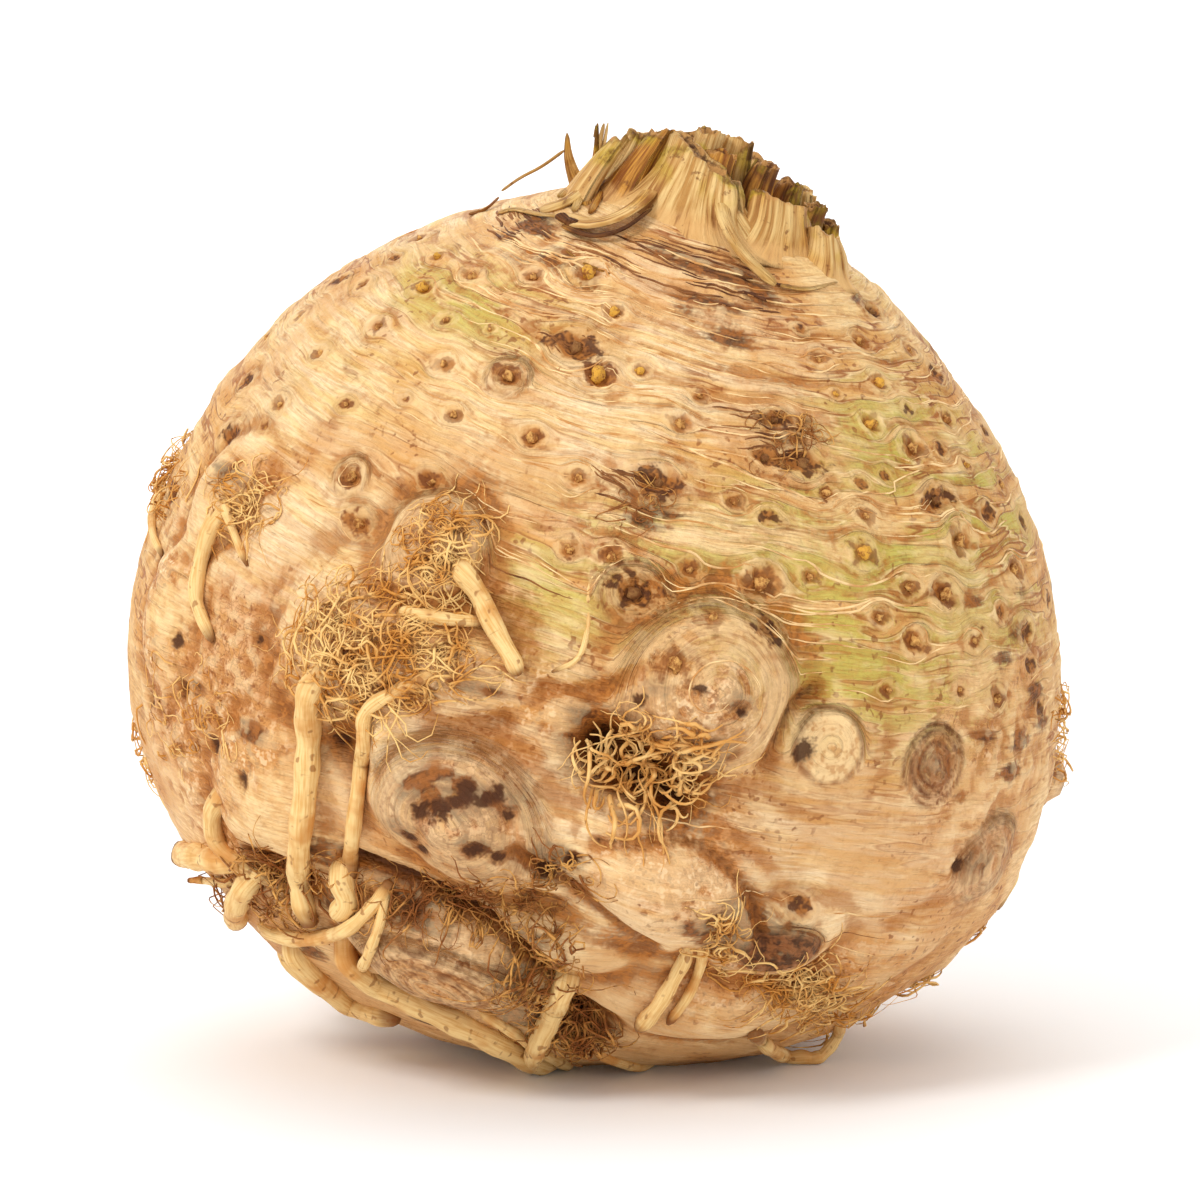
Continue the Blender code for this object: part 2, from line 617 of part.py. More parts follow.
def fuse(body, growths, block):
    """Joins everything that grows from the body, cuts the flat spot, and keeps the result as plain mesh."""
    joined = body.modifiers.new("growths", "BOOLEAN")
    joined.operation = "UNION"
    joined.operand_type = "COLLECTION"
    joined.collection = growths
    joined.solver = "EXACT"
    cut = body.modifiers.new("flat spot", "BOOLEAN")
    cut.operation = "DIFFERENCE"
    cut.object = block
    cut.solver = "EXACT"
    bpy.context.view_layer.update()
    mesh = bpy.data.meshes.new_from_object(body.evaluated_get(bpy.context.evaluated_depsgraph_get()))
    body.modifiers.clear()
    keep_outer_skin(mesh)
    body.data = mesh
    for grown in list(growths.objects):
        bpy.data.objects.remove(grown)
    bpy.data.collections.remove(growths)
    bpy.data.objects.remove(block)


def main():
    for old in list(bpy.data.objects):
        bpy.data.objects.remove(old)
    part = bpy.data.collections.new("celeriac")
    growths = bpy.data.collections.new("growths")
    cutters = bpy.data.collections.new("cutters")
    for collection in (part, growths, cutters):
        bpy.context.scene.collection.children.link(collection)
    body = make_body(part)
    add_eyes_and_scars(growths)
    add_front_roots(growths)
    add_back_roots(growths)
    add_stalks(growths)
    fuse(body, growths, table_block(cutters))
    bpy.data.collections.remove(cutters)
    body.data.materials.clear()
    body.data.materials.append(skin_material())
    body.data.shade_smooth()
    body.data.set_sharp_from_angle(angle=SHARP_ANGLE)


main()
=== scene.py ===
# %% [markdown]
# # A whole celeriac, built cell by cell
#
# A celeriac is the swollen foot of a celery plant. It grew as one piece: a lumpy ball with the cut
# bases of its leaf stalks on top, side roots below, and a skin full of wrinkles, eyes and scars. The
# frame holds that one solid with plain faces. This script dresses it: a finer skin of the same form,
# the eyes, the stalk bases, the thick roots, the tangles of thin rootlets, and the materials, floor,
# lights and camera.

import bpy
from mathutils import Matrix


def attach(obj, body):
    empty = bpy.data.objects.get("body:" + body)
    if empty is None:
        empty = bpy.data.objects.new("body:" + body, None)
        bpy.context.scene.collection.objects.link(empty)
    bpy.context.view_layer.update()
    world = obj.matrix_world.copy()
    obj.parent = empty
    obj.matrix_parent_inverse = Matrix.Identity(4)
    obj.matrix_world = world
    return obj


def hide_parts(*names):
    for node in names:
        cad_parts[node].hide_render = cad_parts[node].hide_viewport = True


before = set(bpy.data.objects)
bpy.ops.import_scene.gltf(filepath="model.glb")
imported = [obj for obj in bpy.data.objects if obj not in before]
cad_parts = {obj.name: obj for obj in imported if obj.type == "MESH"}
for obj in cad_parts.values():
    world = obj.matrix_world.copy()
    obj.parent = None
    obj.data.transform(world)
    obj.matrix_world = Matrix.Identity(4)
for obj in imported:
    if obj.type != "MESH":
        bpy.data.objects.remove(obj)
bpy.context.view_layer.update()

# %% Modules and units
import math
import random

import bmesh
import bpy
import numpy as np
from mathutils import Matrix, Vector, noise

MM = 0.001

# %% [markdown]
# ## From the picture to the root
#
# The front is described in pixels of the photograph, across and down in its 1200 by 1200 frame. One
# driving size sets the scale: the body is 130 mm wide and covers 935 pixels. A sight line from the eye
# through a pixel meets the skin at the place that shows there, so every feature sits on the skin and
# holds from any side.

# %% Scale, eye and picture plane
BODY_WIDTH = 0.130
BODY_WIDTH_PIXELS = 935
PIXEL = BODY_WIDTH / BODY_WIDTH_PIXELS
CENTRE = np.array([0.0, 0.0, 0.0554])
CENTRE_PIXEL = (595, 655)
PHOTO_SIZE = 1200
PHOTO_MIDDLE = 600
VIEW_DISTANCE = 0.70
VIEW_TILT = math.radians(6)
RIGHT = np.array([1.0, 0.0, 0.0])
UP = np.array([0.0, math.sin(VIEW_TILT), math.cos(VIEW_TILT)])
FORWARD = np.array([0.0, math.cos(VIEW_TILT), -math.sin(VIEW_TILT)])
AIM_RIGHT = (PHOTO_MIDDLE - CENTRE_PIXEL[0]) * PIXEL
AIM_UP = (CENTRE_PIXEL[1] - PHOTO_MIDDLE) * PIXEL
AIM = CENTRE + AIM_RIGHT * RIGHT + AIM_UP * UP
EYE = AIM - FORWARD * VIEW_DISTANCE
print("eye, m:", EYE.round(3))

# %% [markdown]
# ## The camera
#
# A lens is chosen by what it takes in: at the eye's distance, 36 mm of sensor must cover 1200 pixels
# of the picture. The camera looks down its own -Z with +Y up, so `to_track_quat` turns it to the aim
# point.

# %% The camera
SENSOR_MM = 36.0
camera_data = bpy.data.cameras.new("camera")
camera_data.sensor_width = SENSOR_MM
camera_data.sensor_fit = "HORIZONTAL"
camera_data.lens = SENSOR_MM * VIEW_DISTANCE / (PHOTO_SIZE * PIXEL)
camera_data.clip_start = 0.01
camera = bpy.data.objects.new("camera", camera_data)
camera.location = EYE
camera.rotation_euler = Vector(FORWARD).to_track_quat("-Z", "Y").to_euler()
bpy.context.scene.collection.objects.link(camera)
bpy.context.scene.camera = camera
print("lens, mm:", round(camera_data.lens, 1))

# %% [markdown]
# ## The body's form
#
# A lumpy ball could be sculpted or displaced by noise. Here it is a formula, so that it matches the
# solid of the frame: a radius for each direction from the centre. The outline seen from the front is a
# smooth ring of twelve radii. Swellings and hollows are added to it, and furrows are cut along lines.

# %% Small helpers for shape
OUTLINE = np.array([64.4, 63.0, 62.6, 62.8, 64.0, 63.8, 64.8, 61.6, 57.8, 56.6, 61.0, 66.0]) * MM
DEPTH_RADIUS = 0.0605
# A sight line is searched from this far before the aim point to this far beyond it, in metres
SIGHT_BEFORE = 0.09
SIGHT_BEYOND = 0.02
SIGHT_STEPS = 441
CROWN_LEAN = np.array([0.26, -0.15, 1.0])
CROWN_AXIS = CROWN_LEAN / np.linalg.norm(CROWN_LEAN)


def unit(vectors):
    return vectors / np.linalg.norm(vectors, axis=-1, keepdims=True)


def curve_between(a, b, c, d, t):
    """A smooth curve from b to c as t goes from 0 to 1, with a and d as the points before and after."""
    square = (2 * a - 5 * b + 4 * c - d) * t**2
    cube = (3 * b - a - 3 * c + d) * t**3
    return 0.5 * (2 * b + (c - a) * t + square + cube)


def smooth_ring(values, turns):
    """A closed smooth curve through evenly spaced values, read at turns from 0 to 1."""
    count = len(values)
    place = (turns % 1.0) * count
    index = np.floor(place).astype(int)
    t = place - index
    a, b, c, d = (values[(index + k) % count] for k in (-1, 0, 1, 2))
    return curve_between(a, b, c, d, t)


def smooth_path(points, count):
    """Evenly read points of a smooth open curve through the given ones."""
    points = np.array(points, float)
    ends = np.vstack([2 * points[0] - points[1], points, 2 * points[-1] - points[-2]])
    place = np.linspace(0, len(points) - 1, count)
    index = np.minimum(place.astype(int), len(points) - 2)
    t = (place - index)[:, None]
    a, b, c, d = (ends[index + k] for k in range(4))
    return curve_between(a, b, c, d, t)


def plain_radius(directions):
    """The radius of the body before its swellings, for each row of unit directions from its centre."""
    turns = np.arctan2(directions[:, 2], directions[:, 0]) / (2 * math.pi)
    towards_viewer = directions[:, 1] ** 2
    return smooth_ring(OUTLINE, turns) * (1 - towards_viewer) + DEPTH_RADIUS * towards_viewer


def seen_points(pixels, radius_of):
    """Where each pixel's sight line first meets a body of that radius, or else passes nearest to it."""
    pixels = np.atleast_2d(np.array(pixels, float))
    across = (pixels[:, :1] - PHOTO_MIDDLE) * PIXEL * RIGHT
    upward = (PHOTO_MIDDLE - pixels[:, 1:]) * PIXEL * UP
    sight = unit(AIM + across + upward - EYE)
    steps = np.linspace(VIEW_DISTANCE - SIGHT_BEFORE, VIEW_DISTANCE + SIGHT_BEYOND, SIGHT_STEPS)
    points = EYE + sight[:, None, :] * steps[:, None] - CENTRE
    lengths = np.linalg.norm(points, axis=2)
    directions = (points / lengths[..., None]).reshape(-1, 3)
    depths = lengths - radius_of(directions).reshape(lengths.shape)
    inside = depths < 0
    first = np.where(inside.any(axis=1), inside.argmax(axis=1), depths.argmin(axis=1))
    return CENTRE + points[np.arange(len(points)), first]


def directions_seen(pixels):
    return unit(seen_points(pixels, plain_radius) - CENTRE)


print("outline from", OUTLINE.min() / MM, "to", OUTLINE.max() / MM, "mm")

# %% [markdown]
# ## Lobes, hollows and furrows of the front
#
# Each row gives one lobe or hollow: where it shows in the picture, how long and wide it is, how it is
# turned and how high it stands. A furrow is a line of pixels with a width and a depth. A lobe has a
# crease round its foot, which is what makes it look grown on.

# %% Swellings, hollows and furrows of the front
# Across, down, half length mm, half width mm, turn in degrees, height mm
FRONT_SWELLINGS = [
    (708, 690, 10.5, 10.0, 0, 6.0),
    (388, 650, 14.0, 11.0, -10, 5.4),
    (436, 545, 6.5, 6.0, 0, 4.2),
    (468, 815, 12.5, 8.0, -40, 5.6),
    (650, 885, 14.0, 8.0, -25, 5.4),
    (440, 962, 13.0, 7.0, -28, 4.4),
    (772, 940, 8.5, 5.5, 12, 3.4),
    (827, 745, 7.0, 6.6, 0, 1.2),
    (935, 765, 6.4, 6.2, 0, 0.5),
    (700, 1012, 14.0, 6.0, -4, 2.6),
    (985, 865, 6.6, 6.0, 30, 1.0),
    (226, 490, 7.5, 5.5, 60, 2.8),
    (168, 610, 9.0, 6.0, 80, 1.8),
    (262, 800, 10.0, 8.0, 60, 2.4),
    (398, 775, 9.0, 4.5, 80, 2.4),
    (560, 940, 8.0, 4.5, -35, 2.0),
    (880, 960, 11.0, 6.0, 30, 1.4),
]
FRONT_HOLLOWS = [
    (638, 768, 9.5, 6.0, -25, 4.6),
    (578, 1022, 5.5, 4.5, 0, 4.0),
    (282, 872, 6.0, 3.5, -30, 2.6),
    (346, 745, 5.0, 3.0, 80, 1.8),
    (490, 625, 4.5, 6.0, 80, 2.2),
]
# Pixels, half width mm and depth mm
FURROWS = [
    ([(352, 862), (420, 892), (490, 930), (548, 972)], 2.2, 2.8),
    ([(520, 842), (590, 892), (650, 940)], 1.6, 1.6),
    ([(600, 838), (690, 842), (748, 892), (756, 930)], 1.6, 1.5),
    ([(545, 690), (600, 690), (652, 662)], 1.8, 1.2),
    ([(770, 760), (786, 712), (820, 690)], 1.6, 1.6),
    ([(380, 985), (450, 1008), (520, 1010)], 1.8, 2.4),
    ([(500, 720), (420, 735), (385, 770)], 1.8, 1.2),
]
# How dark the painted shade at the bottom of each furrow is
FURROW_SHADE_STRENGTHS = [0.95, 0.5, 0.6, 0.3, 0.6, 0.95, 0.3]
CREASE_SHARE = 0.22
SHOULDER_RADIUS_MM = 27
SHOULDER_HEIGHT_MM = 3.6


def local_frame(middle, turn=0.0):
    """The long and short directions on the skin at a place, turned from level as seen from outside."""
    level = unit(np.cross([0.0, 0.0, 1.0], middle))
    upward = np.cross(middle, level)
    along = level * math.cos(math.radians(turn)) + upward * math.sin(math.radians(turn))
    return along, np.cross(middle, along)


def swelling_at(middle, length_mm, width_mm, turn, height_mm, crease_share=CREASE_SHARE):
    along, across = local_frame(middle, turn)
    crease = crease_share * max(height_mm, 0) * MM
    return middle, along, across, length_mm * MM, width_mm * MM, height_mm * MM, crease


def front_swellings():
    for row, middle in zip(FRONT_SWELLINGS, directions_seen([row[:2] for row in FRONT_SWELLINGS])):
        yield swelling_at(middle, *row[2:])
    for row, middle in zip(FRONT_HOLLOWS, directions_seen([row[:2] for row in FRONT_HOLLOWS])):
        yield swelling_at(middle, *row[2:5], -row[5])


counts = {"swellings": len(FRONT_SWELLINGS), "hollows": len(FRONT_HOLLOWS), "furrows": len(FURROWS)}
print("front:", counts)

# %% [markdown]
# ## The side that the picture doesn't show
#
# Where the photograph gives nothing, a seeded rule spreads the same mix of lobes and hollows. A seeded
# draw gives the same numbers on each run, so the back is always the same.

# %% Swellings of the back, by a seeded rule
BACK_SEED = 7
BACK_SWELLINGS = 16
BACK_LATITUDES = (-48, 4)
BACK_SIZES_MM = (6.0, 12.5)
BACK_HEIGHTS_MM = (2.2, 4.6)
BACK_HOLLOW_EVERY = 5
# Degrees to each side of straight back that the lobes reach, and the most that each is shifted
BACK_SPREAD = 100
BACK_SHIFT = 8
# Steps of the golden section spread places evenly with no rows
GOLDEN_SHARE = 0.618


def direction_at(azimuth, latitude):
    """Azimuth 0 is straight back, away from the viewer, and 90 is to the left of the viewer."""
    level = math.cos(latitude)
    return np.array([-math.sin(azimuth) * level, math.cos(azimuth) * level, math.sin(latitude)])


def back_swellings():
    draw = random.Random(BACK_SEED)
    for i in range(BACK_SWELLINGS):
        azimuth = -BACK_SPREAD + 2 * BACK_SPREAD * (i + 0.5) / BACK_SWELLINGS
        azimuth = math.radians(azimuth + draw.uniform(-BACK_SHIFT, BACK_SHIFT))
        share = (i * GOLDEN_SHARE) % 1.0
        latitude = math.radians(BACK_LATITUDES[0] + (BACK_LATITUDES[1] - BACK_LATITUDES[0]) * share)
        length = draw.uniform(*BACK_SIZES_MM)
        height = draw.uniform(*BACK_HEIGHTS_MM)
        sign = -0.8 if i % BACK_HOLLOW_EVERY == 0 else 1
        width = length * draw.uniform(0.6, 0.95)
        direction = direction_at(azimuth, latitude)
        yield swelling_at(direction, length, width, draw.uniform(-60, 60), sign * height)


SHOULDER = swelling_at(CROWN_AXIS, SHOULDER_RADIUS_MM, SHOULDER_RADIUS_MM, 0, SHOULDER_HEIGHT_MM, 0.0)
SWELLINGS = [SHOULDER, *front_swellings(), *back_swellings()]
FURROW_POINTS = 24
FURROW_LINES = [
    (directions_seen(smooth_path(line, FURROW_POINTS)), width * MM, depth * MM)
    for line, width, depth in FURROWS
]


def line_distance(directions, line):
    """How far each direction lies from the nearest place of a line, as a length on the unit ball."""
    nearest = np.full(len(directions), 1.0)
    for place in line:
        nearest = np.minimum(nearest, np.linalg.norm(directions - place, axis=1))
    return nearest


def body_radius(directions):
    """The body's radius with its swellings, hollows and furrows."""
    radius = plain_radius(directions)
    points = directions * radius[:, None]
    for middle, along, across, length, width, height, crease in SWELLINGS:
        offset = points - middle * plain_radius(middle[None])[0]
        reach = np.sqrt(
            (offset @ along / length) ** 2
            + (offset @ across / width) ** 2
            + (offset @ middle / width) ** 2
        )
        radius = radius + height * np.exp(-(reach**2.6))
        radius = radius - crease * np.exp(-(((reach - 1.35) / 0.3) ** 2))
    for line, width, depth in FURROW_LINES:
        nearest = line_distance(directions, line)
        radius = radius - depth * np.exp(-((nearest * DEPTH_RADIUS / width) ** 2))
    return radius


def on_skin(directions, lift=0.0):
    directions = unit(np.atleast_2d(directions))
    return CENTRE + directions * (body_radius(directions) + lift)[:, None]


def directions_on_body(pixels):
    return unit(seen_points(pixels, body_radius) - CENTRE)


print("radius towards the viewer, mm:", round(body_radius(np.array([[0.0, -1.0, 0.0]]))[0] / MM, 1))

# %% [markdown]
# ## Eyes and scars
#
# Each thin root leaves an eye: a ringed dimple with a corky stub in it. The front ones are placed from
# the picture. The back follows the golden section with a seeded shift, which spreads them evenly with
# no rows.

# %% Eyes
# Across, down, radius in pixels, kind
PLAIN, YELLOW, DARK, TORN = range(4)
FRONT_EYES = [
    (280, 404, 9, PLAIN), (346, 404, 6, PLAIN), (453, 414, 8, PLAIN), (351, 476, 11, PLAIN),
    (431, 483, 9, PLAIN), (423, 287, 11, YELLOW), (446, 320, 9, PLAIN), (379, 326, 8, PLAIN),
    (443, 363, 10, PLAIN), (364, 286, 9, PLAIN), (340, 282, 9, DARK), (419, 238, 9, PLAIN),
    (472, 275, 8, PLAIN), (437, 256, 7, YELLOW), (247, 381, 9, DARK), (266, 337, 7, PLAIN),
    (233, 439, 13, DARK), (266, 427, 5, PLAIN), (508, 376, 12, PLAIN), (532, 437, 9, PLAIN),
    (598, 375, 12, YELLOW), (679, 423, 12, PLAIN), (579, 478, 9, PLAIN), (659, 482, 14, TORN),
    (589, 273, 14, YELLOW), (614, 313, 12, YELLOW), (576, 346, 14, TORN), (533, 276, 9, PLAIN),
    (775, 419, 9, TORN), (765, 457, 8, TORN), (874, 309, 8, DARK), (861, 340, 8, PLAIN),
    (877, 383, 10, YELLOW), (819, 360, 8, PLAIN), (870, 425, 11, YELLOW), (913, 448, 11, PLAIN),
    (947, 419, 8, PLAIN), (965, 466, 8, YELLOW), (827, 493, 10, PLAIN), (861, 484, 8, DARK),
    (803, 462, 11, TORN), (938, 500, 13, TORN), (1002, 485, 7, PLAIN), (905, 409, 7, DARK),
    (935, 376, 9, DARK), (940, 452, 7, DARK), (769, 517, 9, DARK), (866, 517, 9, PLAIN),
    (863, 553, 12, YELLOW), (961, 540, 13, PLAIN), (1015, 570, 10, PLAIN), (762, 582, 13, PLAIN),
    (910, 587, 8, PLAIN), (947, 594, 11, PLAIN), (879, 618, 8, PLAIN), (916, 641, 13, PLAIN),
    (713, 618, 11, PLAIN), (768, 632, 10, DARK), (986, 513, 8, DARK), (1023, 522, 8, DARK),
    (1025, 632, 11, DARK), (1046, 601, 9, DARK), (1000, 612, 8, DARK), (810, 577, 7, PLAIN),
    (997, 699, 12, PLAIN), (1041, 706, 9, DARK), (887, 475, 6, DARK), (676, 664, 12, PLAIN),
    (798, 903, 13, DARK), (358, 523, 10, PLAIN), (612, 556, 11, PLAIN), (633, 592, 17, TORN),
    (569, 549, 10, PLAIN), (700, 395, 6, PLAIN), (640, 372, 6, YELLOW), (490, 330, 6, PLAIN),
    (300, 318, 7, PLAIN), (395, 258, 7, DARK), (320, 352, 6, PLAIN), (405, 400, 5, PLAIN),
    (690, 570, 7, PLAIN), (735, 500, 6, PLAIN), (985, 430, 8, DARK), (975, 640, 8, PLAIN),
    (890, 690, 7, PLAIN), (960, 690, 8, PLAIN), (1030, 665, 8, DARK), (800, 330, 7, DARK),
    (835, 395, 6, YELLOW), (910, 350, 8, PLAIN),
]
FRONT_EYE_SEED = 3
BACK_EYE_SEED = 41
BACK_EYES = 96
BACK_EYE_LATITUDES = (-22, 66)
BACK_EYE_SPREAD = 88
BACK_EYE_SHIFT = 3
BACK_EYE_RADII_PIXELS = (7, 13)
BACK_EYE_KINDS = [PLAIN, PLAIN, PLAIN, YELLOW, DARK, DARK, TORN]


def front_eyes():
    draw = random.Random(FRONT_EYE_SEED)
    places = directions_on_body([row[:2] for row in FRONT_EYES])
    return [(m, row[2] * PIXEL * draw.uniform(0.72, 1.12), row[3]) for m, row in zip(places, FRONT_EYES)]


def back_eyes():
    draw = random.Random(BACK_EYE_SEED)
    low, high = BACK_EYE_LATITUDES
    for i in range(BACK_EYES):
        azimuth = -BACK_EYE_SPREAD + 2 * BACK_EYE_SPREAD * ((i * GOLDEN_SHARE) % 1.0)
        azimuth = math.radians(azimuth + draw.uniform(-BACK_EYE_SHIFT, BACK_EYE_SHIFT))
        latitude = math.radians(low + (high - low) * (i + 0.5) / BACK_EYES)
        radius = draw.uniform(*BACK_EYE_RADII_PIXELS) * PIXEL
        yield direction_at(azimuth, latitude), radius, draw.choice(BACK_EYE_KINDS)


EYES = [*front_eyes(), *back_eyes()]
print(len(EYES), "eyes")

# %% [markdown]
# ## The grain of the skin
#
# The wrinkles run round the root like lines of latitude about its crown, and they part round each eye
# as water does round a post. The same formula serves: the distance from the crown, pulled together
# beside each eye. On the big scars the lines close into rings, so there the distance from the scar's
# middle takes over.

# %% Flow coordinates
# Ringed places: across, down, half length mm, half width mm, turn, relief, how pale, how ringed and
# how dark
RINGED = [
    (708, 690, 10.5, 10.5, 0, 0.2, 0.10, 0.2, 0.0),
    (436, 545, 6.6, 6.6, 0, 0.5, 0.0, 0.2, 0.0),
    (460, 812, 10.4, 8.6, -35, 0.3, 0.0, 0.35, 0.08),
    (446, 968, 10.5, 5.6, -28, 0.7, 0.0, 0.8, 0.0),
    (771, 941, 5.6, 3.3, 12, 0.6, 0.0, 0.2, 1.0),
    (827, 745, 4.6, 4.6, 0, 0.1, 0.72, 0.0, 0.0),
    (934, 764, 4.7, 4.7, 0, 0.35, 0.0, 1.0, 0.2),
    (985, 862, 6.6, 6.0, 30, 0.2, 0.1, 0.5, 0.15),
    (508, 376, 2.9, 2.9, 0, 0.0, 0.0, 0.5, 0.0),
    (351, 476, 2.6, 2.6, 0, 0.0, 0.0, 0.5, 0.0),
    (633, 592, 4.4, 3.6, 0, 0.0, 0.0, 0.7, 0.0),
]
PART_ROUND = 1.5
PART_REACH = 4.0
RING_EDGE = (0.8, 1.25)


def smoothstep(value, start, end):
    t = np.clip((value - start) / (end - start), 0, 1)
    return t * t * (3 - 2 * t)


def arc_from_crown(directions):
    return np.arccos(np.clip(directions @ CROWN_AXIS, -1, 1)) * DEPTH_RADIUS


def oval_reach(points, middle, along, across, length, width):
    offset = points - middle
    return np.sqrt(
        (offset @ along / length) ** 2
        + (offset @ across / width) ** 2
        + ((offset @ unit(middle)) / width) ** 2
    )


EYE_POINTS = np.array([middle * plain_radius(middle[None])[0] for middle, _, _ in EYES])
EYE_ARCS = arc_from_crown(unit(EYE_POINTS))
RINGS = []
for row, ring_middle in zip(RINGED, directions_seen([row[:2] for row in RINGED])):
    ring_along, ring_across = local_frame(ring_middle, row[4])
    place = ring_middle * plain_radius(ring_middle[None])[0]
    arc_here = arc_from_crown(ring_middle[None])[0]
    RINGS.append((place, ring_along, ring_across, row[2] * MM, row[3] * MM, arc_here))
CROWN_RIGHT = unit(RIGHT - (RIGHT @ CROWN_AXIS) * CROWN_AXIS)
CROWN_AWAY = np.cross(CROWN_AXIS, CROWN_RIGHT)


def flow_coordinates(directions):
    """Right and away about the crown, and the bent distance from it, as three lengths in metres."""
    points = directions * plain_radius(directions)[:, None]
    arc = arc_from_crown(directions)
    for place, eye_arc, (_, radius, _) in zip(EYE_POINTS, EYE_ARCS, EYES):
        near = PART_ROUND * radius
        square = ((points - place) ** 2).sum(axis=1)
        pull = near**2 / np.maximum(square, near**2) * np.exp(-square / (PART_REACH * near) ** 2)
        arc = arc - (arc - eye_arc) * pull
    for place, along, across, length, width, ring_arc in RINGS:
        reach = oval_reach(points, place, along, across, length, width)
        share = 1 - smoothstep(reach, *RING_EDGE)
        arc = arc * (1 - share) + (ring_arc + reach * (length + width) / 2) * share
    return np.column_stack([points @ CROWN_RIGHT, points @ CROWN_AWAY, arc])


print(len(RINGS), "ringed places")
